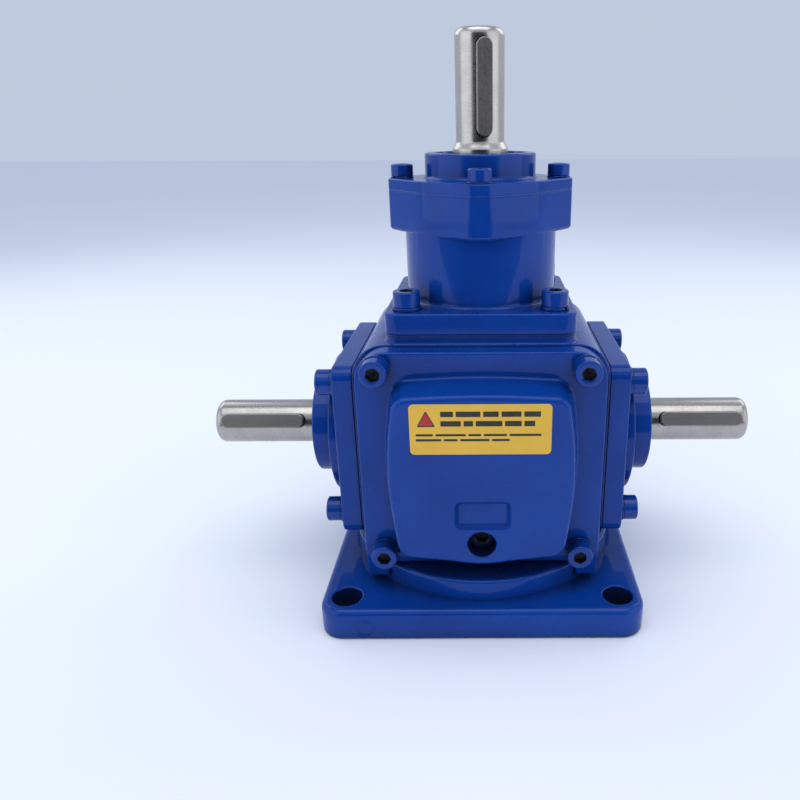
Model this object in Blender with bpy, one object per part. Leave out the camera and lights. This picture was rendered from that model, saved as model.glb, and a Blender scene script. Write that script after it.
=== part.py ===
"""Right angle bevel gearbox: a foot-mounted cast housing with three keyed shaft ends.

The origin is the centre of the foot's underside. +X runs along the cross shaft, +Y runs from the
front cover to the rear cover, and +Z points up the input shaft. Sizes here are in millimetres.
"""
import math

import bmesh
import bpy
from mathutils import Matrix, Vector

MM = 0.001  # metres in a millimetre
GAP = 0.15  # space left between two pieces that are clamped face to face
FINE = 28  # sides of the larger round shapes
COARSE = 20  # sides of the smaller round shapes
HOLE_SIDES = 8  # sides of a screw hole
SHAFT_SIDES = 24

# Foot, pedestal and box of the housing
FOOT_HALF = 65.3
FOOT_THICK = 13.3
FOOT_CORNER = 9.5
FOOT_HOLE_RADIUS = 6.0
FOOT_HOLE_OFFSET = 55.0
PEDESTAL_RADIUS = 58.4
PEDESTAL_TOP = 22.3
BOX_HALF_X = 49.6
BOX_HALF_Y = 36.6
BOX_TOP = 114.2
BOX_CORNER = 12.5
NECK_SEAT = 117.2  # raised pad on the box that the neck stands on
AXIS_Z = 67.7  # height of the cross shaft
CAVITY_HALF_X = 41.0
CAVITY_HALF_Z = 40.0
CAVITY_CUT_X = 10.0
CAVITY_CUT_Z = 14.5
REGISTER_RADIUS = 30.0  # bores that take the spigots of the side covers and the neck

# Front and rear covers
COVER_HALF = 48.0
COVER_TOP = 113.8
COVER_BOTTOM = 22.7
COVER_INNER = 37.6
COVER_OUTER = 45.2
EAR_BOTTOM = 16.2
EAR_INNER = 38.6
EAR_OUTER = 47.5
EAR_TOP = 22.5
NOTCH_MIDDLE = 20.0  # notches in the pedestal that clear the ears
NOTCH_HALF = 4.1
PAD_FRONT = 59.5
PAD_DRAFT = 1.6
PAD_EDGE = 2.0
PAD_WALL = 5.0
NAMEPLATE_HALF = (10.8, 6.1)
NAMEPLATE_PLACE = (0.4, 53.0)
NAMEPLATE_DEPTH = 1.0
PLUG_HEIGHT = 40.0
PLUG_RADIUS = 5.0
PLUG_SUNK = 5.5  # from the face of the pad down to the plug
PLUG_LENGTH = 6.0
PLUG_HOLE_DEPTH = 15.0
PLUG_BOSS_RADIUS = 8.4

# Bearing covers on the left and the right
FLANGE_HALF = 36.8
FLANGE_CORNER = 5.0
SIDE_INNER = 50.4
SIDE_OUTER = 58.6
SIDE_STEP = 63.3
SIDE_BOSS = 71.9
SPIGOT_INNER = 43.0
STEP_RADIUS = 30.6
BOSS_RADIUS = 22.0

# Neck and end cover of the input shaft
NECK_SPIGOT = 110.5
NECK_BOTTOM = 118.1
NECK_FLANGE_TOP = 126.2
NECK_LEDGE = 22.0  # radius of the opening under the lower bearing
LUG_BOTTOM = 152.9
NECK_TOP = 168.2
NECK_RADIUS = 30.6
LUG_REACH = 36.6
LUG_TIP = 3.6  # half the width of a lug's end
LUG_ROUND = 4.0
LUG_BARREL = 30.9
END_PLATE_BOTTOM = 168.9
END_PLATE_TOP = 173.0
END_BOSS_TOP = 182.4

# Screws: the shank fits a hole one clearance larger
SCREW_FIT = 0.4
M6 = {"shank": 3.0, "head": 5.2, "head_height": 7.3, "socket": 2.9, "socket_depth": 3.2}
M5 = {"shank": 2.5, "head": 4.4, "head_height": 5.2, "socket": 2.3, "socket_depth": 2.7}
COVER_BOLT = (39.5, 39.2)
COVER_BOLT_MIDDLE = 68.3
NECK_BOLT = 28.5
SIDE_BOLT = 28.8
END_BOLT_CIRCLE = 31.2
THREAD_DEPTH = 8.0
M6_GRIP = 7.8  # length of thread in the casting
M5_GRIP = 7.0
COVER_GRIP = 10.0
COVER_THREAD_DEPTH = 13.0

# Shafts
SHAFT_RADIUS = 9.5
SHAFT_TIP = 117.6
INPUT_TIP = 226.4
TIP_CHAMFER = 2.2
JOURNAL_RADIUS = 10.0
JOURNAL_END = 73.4
COLLAR_RADIUS = 13.0
GEAR_STOP_RADIUS = 14.5
GEAR_STOP = (12.0, 25.7)  # where the shoulder behind the crown gear's bore starts and ends
GEAR_SEAT_RADIUS = 11.0
INPUT_JOURNAL = 12.5
END_KEY_PLACE = 96.0
END_KEY_LENGTH = 36.0
END_KEY_ANGLE = math.radians(68)  # the end keys look forwards and 22 degrees up
INPUT_KEY_PLACE = 205.4
INPUT_KEY_LENGTH = 34.0
INPUT_KEY_ANGLE = math.radians(-80)
GEAR_KEY_LENGTH = 17.0
GEAR_KEY_SEAT = 7.5
GEAR_KEY_PLACE = 35.5  # from the crossing of the two shafts
KEY_WIDTH = 6.0
KEY_HEIGHT = 6.0
KEY_PROUD = 2.5
KEY_FIT = 0.15

# Bearings and seals: heights along each axis run outward from the crossing of the two shafts
BEARING_OUTER = 23.5
BEARING_SPAN = (46.0, 61.0)
INPUT_BEARING_OUTER = 26.0
LOWER_BEARING = (122.0, 138.0)  # heights above the foot
UPPER_BEARING = (151.0, 167.0)
ROLLERS = 12
BEARING_FIT = 0.2
SEAL_RADIUS = 17.5
SEAL_BORE = 17.75
SEAL_SPAN = (64.8, 71.1)
INPUT_SEAL = (174.9, 181.6)
SEAL_LEDGE = 19.5  # bore between the bearing and the seal

# Spiral bevel gears
TEETH = 18
HEEL_RADIUS = 33.0  # pitch radius at the large end of the teeth
TOE_SHARE = 0.70  # size of the small end of the teeth compared with the large end
SPIRAL = math.radians(35)
PRESSURE = math.radians(20)
TOOTH_SHARE = 0.468  # part of the pitch that a tooth takes up
CONE = math.radians(45)
GEAR_BORE = 11.25
GEAR_HUB = 18.0
PINION_HUB_TOP = 46.9

PAINT = ((0.012, 0.045, 0.30), 0.28, 0.0)
STEEL = ((0.62, 0.60, 0.56), 0.28, 1.0)
KEY_STEEL = ((0.26, 0.25, 0.24), 0.42, 1.0)
GEAR_STEEL = ((0.40, 0.39, 0.38), 0.35, 1.0)
BEARING_STEEL = ((0.55, 0.55, 0.57), 0.22, 1.0)
RUBBER = ((0.012, 0.012, 0.013), 0.55, 0.0)
GASKET = ((0.035, 0.038, 0.045), 0.80, 0.0)
PLUG_STEEL = ((0.05, 0.05, 0.055), 0.40, 1.0)


def facing(right, up, outward, origin=(0.0, 0.0, 0.0)):
    """A frame whose X, Y and Z axes are the three given world directions."""
    frame = Matrix((right, up, outward)).transposed().to_4x4()
    frame.translation = Vector(origin) * MM
    return frame


ON_AXIS = (0.0, 0.0, AXIS_Z)
UPRIGHT = facing((1, 0, 0), (0, 1, 0), (0, 0, 1))
DOWNWARD = facing((1, 0, 0), (0, -1, 0), (0, 0, -1))
FRONT = facing((1, 0, 0), (0, 0, 1), (0, -1, 0))
REAR = facing((-1, 0, 0), (0, 0, 1), (0, 1, 0))
LEFT = facing((0, -1, 0), (0, 0, 1), (-1, 0, 0), ON_AXIS)
RIGHT = facing((0, 1, 0), (0, 0, 1), (1, 0, 0), ON_AXIS)
INPUT = facing((1, 0, 0), (0, 1, 0), (0, 0, 1), ON_AXIS)
CROSS = facing((0, 0, 1), (0, -1, 0), (1, 0, 0), ON_AXIS)


# Outlines -----------------------------------------------------------------------------------------

def circle(radius, sides, turn=0.0):
    """Points of a circle, counter-clockwise."""
    angles = [turn + 2 * math.pi * side / sides for side in range(sides)]
    return [Vector((radius * math.cos(angle), radius * math.sin(angle))) for angle in angles]


def rounded(corners):
    """Close an outline through corners given as (x, y, radius, steps), each rounded by an arc."""
    points = []
    for index, (x, y, radius, steps) in enumerate(corners):
        corner = Vector((x, y))
        back = (Vector(corners[index - 1][:2]) - corner).normalized()
        ahead = (Vector(corners[(index + 1) % len(corners)][:2]) - corner).normalized()
        if radius == 0:
            points.append(corner)
            continue
        half = back.angle(ahead) / 2
        centre = corner + (back + ahead).normalized() * (radius / math.sin(half))
        start = corner + back * (radius / math.tan(half)) - centre
        sweep = start.angle_signed(corner + ahead * (radius / math.tan(half)) - centre)
        for step in range(steps + 1):
            points.append(centre + Matrix.Rotation(-sweep * step / steps, 2) @ start)
    return [point for index, point in enumerate(points) if (point - points[index - 1]).length > 1e-4]


def rounded_square(half_x, half_y, radius, steps=4):
    """A rectangle about the origin with round corners."""
    signs = ((1, -1), (1, 1), (-1, 1), (-1, -1))
    return rounded([(sx * half_x, sy * half_y, radius, steps) for sx, sy in signs])


def shrunk(outline, distance):
    """Move every edge of a counter-clockwise outline inward by one distance."""
    moved = []
    for index, point in enumerate(outline):
        before = (point - outline[index - 1]).normalized()
        after = (outline[(index + 1) % len(outline)] - point).normalized()
        normals = Vector((-before.y, before.x)) + Vector((-after.y, after.x))
        moved.append(point + normals * (distance / (1 + before.dot(after))))
    return moved


def mirrored(half_outline):
    """Complete an outline from its right half, listed from the bottom up, radius included."""
    left = [(-x, *rest) for x, *rest in reversed(half_outline) if x > 0]
    return rounded(list(half_outline) + left)


# Solids -------------------------------------------------------------------------------------------

def make_object(name, mesh_builder, frame):
    """Turn a bmesh in millimetres into an object placed by its frame."""
    bmesh.ops.scale(mesh_builder, vec=(MM, MM, MM), verts=mesh_builder.verts)
    bmesh.ops.recalc_face_normals(mesh_builder, faces=mesh_builder.faces)
    mesh = bpy.data.meshes.new(name)
    mesh_builder.to_mesh(mesh)
    mesh_builder.free()
    thing = bpy.data.objects.new(name, mesh)
    bpy.context.scene.collection.objects.link(thing)
    thing.matrix_world = frame
    return thing


def add_loft(builder, rings, closed=False):
    """Skin a stack of rings with equal point counts, and cap the ends unless it closes on itself."""
    layers = [[builder.verts.new(point) for point in ring] for ring in rings]
    count = len(layers[0])
    pairs = list(zip(layers, layers[1:]))
    if closed:
        pairs.append((layers[-1], layers[0]))
    for low, high in pairs:
        for index in range(count):
            following = (index + 1) % count
            builder.faces.new((low[index], low[following], high[following], high[index]))
    if not closed:
        builder.faces.new(list(reversed(layers[0])))
        builder.faces.new(layers[-1])


def loft(name, frame, rings, closed=False):
    """One solid skinned over rings of 3-D points."""
    builder = bmesh.new()
    add_loft(builder, rings, closed)
    return make_object(name, builder, frame)


def at_height(outline, height):
    """Lift a flat outline to a height along its frame's Z axis."""
    return [Vector((point.x, point.y, height)) for point in outline]


def slab(name, frame, outline, levels):
    """A plate from an outline and its levels of (height, inset), lowest first."""
    return loft(name, frame, [at_height(shrunk(outline, inset), height) for height, inset in levels])


def turned(name, frame, profile, sides=FINE, closed=False):
    """A turned solid from a profile of (radius, height). A closed profile leaves a bore."""
    rings = [at_height(circle(radius, sides), height) for radius, height in profile]
    return loft(name, frame, rings, closed)


def posts(name, frame, places, radius, low, high, sides=HOLE_SIDES):
    """Equal cylinders at several places of a frame, as one cutting tool."""
    builder = bmesh.new()
    outline = circle(radius, sides)
    for place in places:
        shifted = [point + Vector(place) for point in outline]
        add_loft(builder, [at_height(shifted, low), at_height(shifted, high)])
    return make_object(name, builder, frame)


def combine(target, tools, operation):
    """Apply one Boolean operation with each tool, and remove the tools."""
    for tool in tools:
        modifier = target.modifiers.new(operation.lower(), "BOOLEAN")
        modifier.operation = operation
        modifier.solver = "EXACT"
        modifier.object = tool
    bpy.context.view_layer.update()
    shape = target.evaluated_get(bpy.context.evaluated_depsgraph_get())
    mesh = bpy.data.meshes.new_from_object(shape)
    target.modifiers.clear()
    target.data = mesh
    for tool in tools:
        bpy.data.objects.remove(tool)
    return target


def cut(target, *tools):
    """Remove the tools' shapes from the target."""
    return combine(target, tools, "DIFFERENCE")


def join(target, *tools):
    """Add the tools' shapes to the target."""
    return combine(target, tools, "UNION")


# Materials ----------------------------------------------------------------------------------------

def material(name, look):
    """A Principled material from (colour, roughness, metallic)."""
    colour, roughness, metallic = look
    made = bpy.data.materials.new(name)
    made.use_nodes = True
    shader = made.node_tree.nodes["Principled BSDF"]
    shader.inputs["Base Color"].default_value = (*colour, 1.0)
    shader.inputs["Roughness"].default_value = roughness
    shader.inputs["Metallic"].default_value = metallic
    made.diffuse_color = (*colour, 1.0)
    return made


def finish(thing, look, parent=None):
    """Give an object its own material, shading and parent."""
    thing.data.materials.clear()
    thing.data.materials.append(material(thing.name + "_material", look))
    thing.data.shade_smooth()
    thing.data.set_sharp_from_angle(angle=math.radians(35))
    if parent is not None:
        world = thing.matrix_world.copy()
        thing.parent = parent
        thing.matrix_parent_inverse = parent.matrix_world.inverted()
        thing.matrix_world = world
    return thing


# Shared outlines ----------------------------------------------------------------------------------

def cover_outline():
    """Outline of the front and rear covers, cut away above the pedestal between two ears."""
    return mirrored([
        (EAR_INNER, COVER_BOTTOM, 0, 1),
        (EAR_INNER, EAR_BOTTOM, 0, 1),
        (EAR_OUTER, EAR_BOTTOM, 1.5, 2),
        (EAR_OUTER, EAR_TOP, 0, 1),
        (COVER_HALF, 29.0, 0, 1),
        (COVER_HALF, COVER_TOP, 12.0, 4),
    ])


def pad_outline():
    """Barrel-shaped front edge of the pad on a cover."""
    return mirrored([
        (0.0, 30.2, 40.0, 2),
        (12.5, 32.2, 0, 1),
        (32.2, 34.3, 6.5, 4),
        (36.7, 72.0, 150.0, 5),
        (32.0, 100.8, 5.5, 4),
        (0.0, 102.6, 300.0, 2),
    ])


def cavity_outline():
    """Inside of the box in the XZ plane, with its corners cut off for the screws."""
    right = [
        (CAVITY_HALF_X - CAVITY_CUT_X, AXIS_Z - CAVITY_HALF_Z, 3.0, 1),
        (CAVITY_HALF_X, AXIS_Z - CAVITY_HALF_Z + CAVITY_CUT_Z, 3.0, 1),
        (CAVITY_HALF_X, AXIS_Z + CAVITY_HALF_Z - CAVITY_CUT_Z, 3.0, 1),
        (CAVITY_HALF_X - CAVITY_CUT_X, AXIS_Z + CAVITY_HALF_Z, 3.0, 1),
    ]
    return mirrored(right)


def lug_outline():
    """A circle with four lugs, whose straight sides run from their round tips to the circle."""
    tip = Vector((LUG_REACH, LUG_TIP))
    leaning = math.atan2(LUG_TIP, LUG_REACH) + math.acos(LUG_BARREL / tip.length)
    valley = LUG_BARREL / math.cos(math.radians(45) - leaning)
    corners = []
    for quarter in range(4):
        turn = Matrix.Rotation(math.radians(90 * quarter), 2)
        for x, y, radius in ((tip.x, -tip.y, LUG_ROUND), (tip.x, tip.y, LUG_ROUND),
                             (valley * math.sqrt(0.5), valley * math.sqrt(0.5), LUG_BARREL)):
            corners.append((*(turn @ Vector((x, y))), radius, 2))
    return rounded(corners)


# Screw places -------------------------------------------------------------------------------------

def cover_places():
    """Screw places of the front and rear covers, in a frame with its origin at the foot."""
    across, up = COVER_BOLT
    return [(sx * across, COVER_BOLT_MIDDLE + sz * up) for sx in (-1, 1) for sz in (-1, 1)]


def square_places(reach):
    """Four places in a square."""
    return [(sx * reach, sy * reach) for sx in (-1, 1) for sy in (-1, 1)]


def end_places():
    """Screw places of the end cover, one on each lug."""
    radius = END_BOLT_CIRCLE
    return [(-radius, 0.0), (radius, 0.0), (0.0, -radius), (0.0, radius)]


# Castings -----------------------------------------------------------------------------------------

def make_housing():
    """Foot, pedestal and box with its bores and tapped holes."""
    foot_square = rounded_square(FOOT_HALF, FOOT_HALF, FOOT_CORNER)
    edges = ((0.0, 0.7), (0.7, 0.0), (FOOT_THICK - 2.0, 0.0), (FOOT_THICK - 0.6, 0.6))
    housing = slab("housing", UPRIGHT, foot_square, (*edges, (FOOT_THICK, 2.0)))
    pedestal = turned("pedestal", UPRIGHT, (
        (PEDESTAL_RADIUS + 3.2, FOOT_THICK - 2.0),
        (PEDESTAL_RADIUS + 3.2, FOOT_THICK - 0.4),
        (PEDESTAL_RADIUS + 0.9, FOOT_THICK + 0.8),
        (PEDESTAL_RADIUS, FOOT_THICK + 3.0),
        (PEDESTAL_RADIUS - 0.4, PEDESTAL_TOP - 1.2),
        (PEDESTAL_RADIUS - 1.6, PEDESTAL_TOP)), 36)
    floor = PEDESTAL_TOP - 0.5
    box_outline = [point + Vector((0, (BOX_TOP + floor) / 2)) for point in
                   rounded_square(BOX_HALF_X, (BOX_TOP - floor) / 2, BOX_CORNER)]
    box = slab("box", FRONT, box_outline, ((-BOX_HALF_Y, 0), (BOX_HALF_Y, 0)))
    seat_half = BOX_HALF_Y - 0.1
    seat = slab("neck_seat", UPRIGHT, rounded_square(seat_half, seat_half, FLANGE_CORNER, 3),
                ((BOX_TOP - 1.0, 0), (NECK_SEAT, 0)))
    join(housing, pedestal, box, seat)

    cavity = slab("cavity", FRONT, cavity_outline(), ((-BOX_HALF_Y - 5, 0), (BOX_HALF_Y + 5, 0)))
    side_bore = turned("side_bore", RIGHT, ((REGISTER_RADIUS, -SIDE_OUTER), (REGISTER_RADIUS, SIDE_OUTER)))
    top_bore = turned("top_bore", UPRIGHT,
                      ((REGISTER_RADIUS, BOX_TOP - 15), (REGISTER_RADIUS, NECK_FLANGE_TOP)))
    cut(housing, cavity, side_bore, top_bore)

    notch_width = FOOT_HALF - EAR_INNER + 0.4
    tools = [posts("foot_holes", UPRIGHT, square_places(FOOT_HOLE_OFFSET),
                   FOOT_HOLE_RADIUS, -5, 30, COARSE)]
    tap = M6["shank"] + SCREW_FIT
    for face in (FRONT, REAR):
        tools.append(posts("cover_taps", face, cover_places(), tap,
                           BOX_HALF_Y - COVER_THREAD_DEPTH, BOX_HALF_Y + 9))
        for side in (-1, 1):
            notch = [point + Vector((side * (EAR_INNER - 0.4 + notch_width / 2), NOTCH_MIDDLE))
                     for point in rounded_square(notch_width / 2, NOTCH_HALF, 0.5, 1)]
            tools.append(slab("notch", face, notch, ((BOX_HALF_Y, 0), (FOOT_HALF + 5, 0))))
    for face in (LEFT, RIGHT):
        tools.append(posts("side_taps", face, square_places(SIDE_BOLT), tap,
                           BOX_HALF_X - THREAD_DEPTH, BOX_HALF_X + 5))
    tools.append(posts("neck_taps", UPRIGHT, square_places(NECK_BOLT), tap,
                       NECK_SEAT - THREAD_DEPTH, NECK_SEAT + 5))
    cut(housing, *tools)
    finish(housing, PAINT)


def make_cover(name, face):
    """A plate with a hollow pad, a nameplate recess and a boss for the oil plug."""
    outline = cover_outline()
    plate = slab(name, face, outline,
                 ((COVER_INNER, 0), (COVER_OUTER - 0.8, 0), (COVER_OUTER, 0.8)))
    pad_levels = (
        (COVER_OUTER - 3.0, -PAD_DRAFT),
        (COVER_OUTER, -PAD_DRAFT),
        (PAD_FRONT - PAD_EDGE, 0.0),
        (PAD_FRONT - 0.6, 0.55),
        (PAD_FRONT, PAD_EDGE),
    )
    pad = slab(name + "_pad", face, pad_outline(), pad_levels)
    join(plate, pad)
    pocket = slab(name + "_pocket", face, pad_outline(),
                  ((COVER_INNER - 5, PAD_WALL - PAD_DRAFT), (PAD_FRONT - PAD_WALL, PAD_WALL)))
    cut(plate, pocket)
    boss = posts(name + "_boss", face, [(0.0, PLUG_HEIGHT)], PLUG_BOSS_RADIUS,
                 PAD_FRONT - 10.0, PAD_FRONT - 1.0, COARSE)
    join(plate, boss)
    across, up = NAMEPLATE_HALF
    recess = [point + Vector(NAMEPLATE_PLACE) for point in rounded_square(across, up, 1.6, 2)]
    nameplate = slab(name + "_recess", face, recess,
                     ((PAD_FRONT - NAMEPLATE_DEPTH, 1.9), (PAD_FRONT + 0.1, -0.2)))
    plug_hole = posts(name + "_plug_hole", face, [(0.0, PLUG_HEIGHT)], PLUG_RADIUS + SCREW_FIT,
                      PAD_FRONT - PLUG_HOLE_DEPTH, PAD_FRONT + 5, COARSE)
    screw_holes = posts(name + "_holes", face, cover_places(), M6["shank"] + SCREW_FIT,
                        COVER_INNER - 5, COVER_OUTER + 5)
    cut(plate, nameplate, plug_hole, screw_holes)
    finish(plate, PAINT)


def make_side_cover(name, face):
    """A square flange with a stepped boss, bored for a bearing and an oil seal."""
    square = rounded_square(FLANGE_HALF, FLANGE_HALF, FLANGE_CORNER)
    cover = slab(name, face, square,
                 ((SIDE_INNER, 0), (SIDE_OUTER - 0.8, 0), (SIDE_OUTER, 0.8)))
    boss = turned(name + "_boss", face, (
        (REGISTER_RADIUS - 0.3, SPIGOT_INNER),
        (REGISTER_RADIUS - 0.3, SIDE_OUTER - 1.0),
        (STEP_RADIUS, SIDE_OUTER - 1.0),
        (STEP_RADIUS, SIDE_STEP - 0.8),
        (STEP_RADIUS - 0.8, SIDE_STEP),
        (BOSS_RADIUS, SIDE_STEP),
        (BOSS_RADIUS, SIDE_BOSS - 1.0),
        (BOSS_RADIUS - 1.0, SIDE_BOSS)))
    bearing_end = BEARING_SPAN[1] + 2 * GAP
    seal_end = SEAL_SPAN[0] - GAP
    bore = turned(name + "_bore", face, (
        (BEARING_OUTER + BEARING_FIT, SPIGOT_INNER - 5),
        (BEARING_OUTER + BEARING_FIT, bearing_end),
        (SEAL_LEDGE, bearing_end),
        (SEAL_LEDGE, seal_end),
        (SEAL_BORE, seal_end),
        (SEAL_BORE, SIDE_BOSS + 5)))
    holes = posts(name + "_holes", face, square_places(SIDE_BOLT), M6["shank"] + SCREW_FIT,
                  SIDE_INNER - 5, SIDE_OUTER + 5)
    join(cover, boss)
    cut(cover, bore, holes)
    finish(cover, PAINT)


def make_neck():
    """Input bearing housing: square flange, cylinder and four lugs around its top."""
    square = rounded_square(FLANGE_HALF, FLANGE_HALF, FLANGE_CORNER)
    neck = slab("input_neck", UPRIGHT, square,
                ((NECK_BOTTOM, 0), (NECK_FLANGE_TOP - 0.8, 0), (NECK_FLANGE_TOP, 0.8)))
    barrel = turned("barrel", UPRIGHT, (
        (REGISTER_RADIUS - 0.3, NECK_SPIGOT),
        (REGISTER_RADIUS - 0.3, NECK_BOTTOM + 1.0),
        (NECK_RADIUS + 1.5, NECK_FLANGE_TOP - 1.0),
        (NECK_RADIUS + 1.5, NECK_FLANGE_TOP + 0.3),
        (NECK_RADIUS, NECK_FLANGE_TOP + 2.0),
        (NECK_RADIUS, NECK_TOP)))
    lugs = slab("lugs", UPRIGHT, lug_outline(), (
        (LUG_BOTTOM, 2.0), (LUG_BOTTOM + 0.6, 0.6), (LUG_BOTTOM + 2.0, 0), (NECK_TOP, 0)))
    join(neck, barrel, lugs)
    bearing_start = LOWER_BEARING[0] - 2 * GAP
    bore = turned("neck_bore", UPRIGHT, (
        (NECK_LEDGE, NECK_SPIGOT - 5),
        (NECK_LEDGE, bearing_start),
        (INPUT_BEARING_OUTER + BEARING_FIT, bearing_start),
        (INPUT_BEARING_OUTER + BEARING_FIT, NECK_TOP + 5)))
    holes = posts("neck_holes", UPRIGHT, square_places(NECK_BOLT), M6["shank"] + SCREW_FIT,
                  NECK_BOTTOM - 5, NECK_FLANGE_TOP + 5)
    taps = posts("lug_taps", UPRIGHT, end_places(), M5["shank"] + SCREW_FIT,
                 NECK_TOP - THREAD_DEPTH, NECK_TOP + 5)
    cut(neck, bore, holes, taps)
    finish(neck, PAINT)


def make_end_cover():
    """Lobed cover over the input bearings, with a boss for the oil seal."""
    cover = slab("input_end_cover", UPRIGHT, lug_outline(), (
        (END_PLATE_BOTTOM, 0), (END_PLATE_TOP - 0.6, 0), (END_PLATE_TOP, 0.6)))
    boss = turned("end_boss", UPRIGHT, (
        (INPUT_BEARING_OUTER - 0.1, UPPER_BEARING[1] + 2 * GAP),
        (INPUT_BEARING_OUTER - 0.1, END_PLATE_BOTTOM + 1.0),
        (BOSS_RADIUS, END_PLATE_TOP - 1.0),
        (BOSS_RADIUS, END_BOSS_TOP - 1.0),
        (BOSS_RADIUS - 1.0, END_BOSS_TOP)))
    bore = turned("end_bore", UPRIGHT, (
        (SEAL_LEDGE, NECK_TOP - 5),
        (SEAL_LEDGE, INPUT_SEAL[0] - 2 * GAP),
        (SEAL_BORE, INPUT_SEAL[0] - 2 * GAP),
        (SEAL_BORE, END_BOSS_TOP + 5)))
    holes = posts("end_holes", UPRIGHT, end_places(), M5["shank"] + SCREW_FIT,
                  NECK_TOP - 5, END_PLATE_TOP + 5)
    join(cover, boss)
    cut(cover, bore, holes)
    finish(cover, PAINT)


# Gaskets ------------------------------------------------------------------------------------------

def make_gaskets():
    """One thin gasket in each of the six joints."""
    inset = 0.3
    opening = slab("opening", FRONT, cavity_outline(),
                   ((BOX_HALF_Y - 5, -inset), (COVER_INNER + 5, -inset)))
    for name, face in (("front_cover_gasket", FRONT), ("rear_cover_gasket", REAR)):
        gasket = slab(name, face, shrunk(cover_outline(), inset),
                      ((BOX_HALF_Y + GAP, 0), (COVER_INNER - GAP, 0)))
        hole = opening.copy()
        hole.data = opening.data.copy()
        bpy.context.scene.collection.objects.link(hole)
        hole.matrix_world = face
        holes = posts("holes", face, cover_places(), M6["shank"] + SCREW_FIT,
                      BOX_HALF_Y - 5, COVER_INNER + 5)
        finish(cut(gasket, hole, holes), GASKET)
    bpy.data.objects.remove(opening)

    flange = rounded_square(BOX_HALF_Y - inset, BOX_HALF_Y - inset, FLANGE_CORNER, 3)
    squares = (
        ("left_cover_gasket", LEFT, BOX_HALF_X, SIDE_INNER, SIDE_BOLT),
        ("right_cover_gasket", RIGHT, BOX_HALF_X, SIDE_INNER, SIDE_BOLT),
        ("neck_gasket", UPRIGHT, NECK_SEAT, NECK_BOTTOM, NECK_BOLT),
    )
    for name, face, low, high, bolt in squares:
        gasket = slab(name, face, flange, ((low + GAP, 0), (high - GAP, 0)))
        hole = posts("opening", face, [(0, 0)], REGISTER_RADIUS + 0.2, low - 5, high + 5, FINE)
        holes = posts("holes", face, square_places(bolt), M6["shank"] + SCREW_FIT,
                      low - 5, high + 5)
        finish(cut(gasket, hole, holes), GASKET)

    gasket = slab("end_cover_gasket", UPRIGHT, shrunk(lug_outline(), inset),
                  ((NECK_TOP + GAP, 0), (END_PLATE_BOTTOM - GAP, 0)))
    hole = posts("opening", UPRIGHT, [(0, 0)], INPUT_BEARING_OUTER + inset,
                 NECK_TOP - 5, END_PLATE_BOTTOM + 5, FINE)
    holes = posts("holes", UPRIGHT, end_places(), M5["shank"] + SCREW_FIT,
                  NECK_TOP - 5, END_PLATE_BOTTOM + 5)
    finish(cut(gasket, hole, holes), GASKET)


# Fasteners ----------------------------------------------------------------------------------------

def hexagon(radius):
    """A hexagon with a point in the middle of each side, to match the screw's twelve sides."""
    flat = radius * math.cos(math.radians(30))
    return [point * (1 if index % 2 == 0 else flat / radius)
            for index, point in enumerate(circle(radius, 12))]


def make_screw(name, frame, size, reach):
    """A socket cap screw with its head on the frame's XY plane and its shank below it."""
    top = size["head_height"]
    bottom = top - size["socket_depth"]
    screw = loft(name, frame, [
        at_height(circle(size["shank"], 12), -reach),
        at_height(circle(size["shank"], 12), GAP),
        at_height(circle(size["head"], 12), GAP),
        at_height(circle(size["head"], 12), top),
        at_height(hexagon(size["socket"]), top),
        at_height(hexagon(size["socket"]), bottom),
    ])
    finish(screw, PAINT)


def corner_name(x, y, vertical):
    """Words for a place in a square pattern, seen from outside."""
    across = "left" if x < 0 else "right"
    along = ("lower", "upper") if vertical else ("front", "rear")
    return (along[0] if y < 0 else along[1]) + "_" + across


def make_screws():
    """Every cap screw, one at each screw place."""
    for label, face in (("front_cover", FRONT), ("rear_cover", REAR)):
        for x, z in cover_places():
            seat = face @ Matrix.Translation(Vector((x, z, COVER_OUTER)) * MM)
            name = f"{label}_screw_{corner_name(x, z - COVER_BOLT_MIDDLE, True)}"
            make_screw(name, seat, M6, COVER_OUTER - BOX_HALF_Y + COVER_GRIP)
    flanges = (
        ("left_cover", LEFT, SIDE_OUTER, BOX_HALF_X, SIDE_BOLT, True),
        ("right_cover", RIGHT, SIDE_OUTER, BOX_HALF_X, SIDE_BOLT, True),
        ("neck", UPRIGHT, NECK_FLANGE_TOP, NECK_SEAT, NECK_BOLT, False),
    )
    for label, face, seat_height, casting, bolt, vertical in flanges:
        for x, y in square_places(bolt):
            seat = face @ Matrix.Translation(Vector((x, y, seat_height)) * MM)
            name = f"{label}_screw_{corner_name(x, y, vertical)}"
            make_screw(name, seat, M6, seat_height - casting + M6_GRIP)
    for side, (x, y) in zip(("left", "right", "front", "rear"), end_places()):
        seat = UPRIGHT @ Matrix.Translation(Vector((x, y, END_PLATE_TOP)) * MM)
        make_screw(f"end_cover_screw_{side}", seat, M5, END_PLATE_TOP - NECK_TOP + M5_GRIP)


def make_oil_plug(name, face):
    """A headless socket plug sunk into the boss of a cover."""
    seat = face @ Matrix.Translation(Vector((0, PLUG_HEIGHT, PAD_FRONT - PLUG_SUNK)) * MM)
    plug = loft(name, seat, [
        at_height(circle(PLUG_RADIUS, 12), -PLUG_LENGTH),
        at_height(circle(PLUG_RADIUS, 12), 0.0),
        at_height(hexagon(M6["socket"]), 0.0),
        at_height(hexagon(M6["socket"]), -M6["socket_depth"]),
    ])
    finish(plug, PLUG_STEEL)


# Shafts and keys ----------------------------------------------------------------------------------

def key_outline(length):
    """A key with round ends, seen from above, its length along Y."""
    return rounded_square(KEY_WIDTH / 2, length / 2, KEY_WIDTH / 2, 4)


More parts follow.
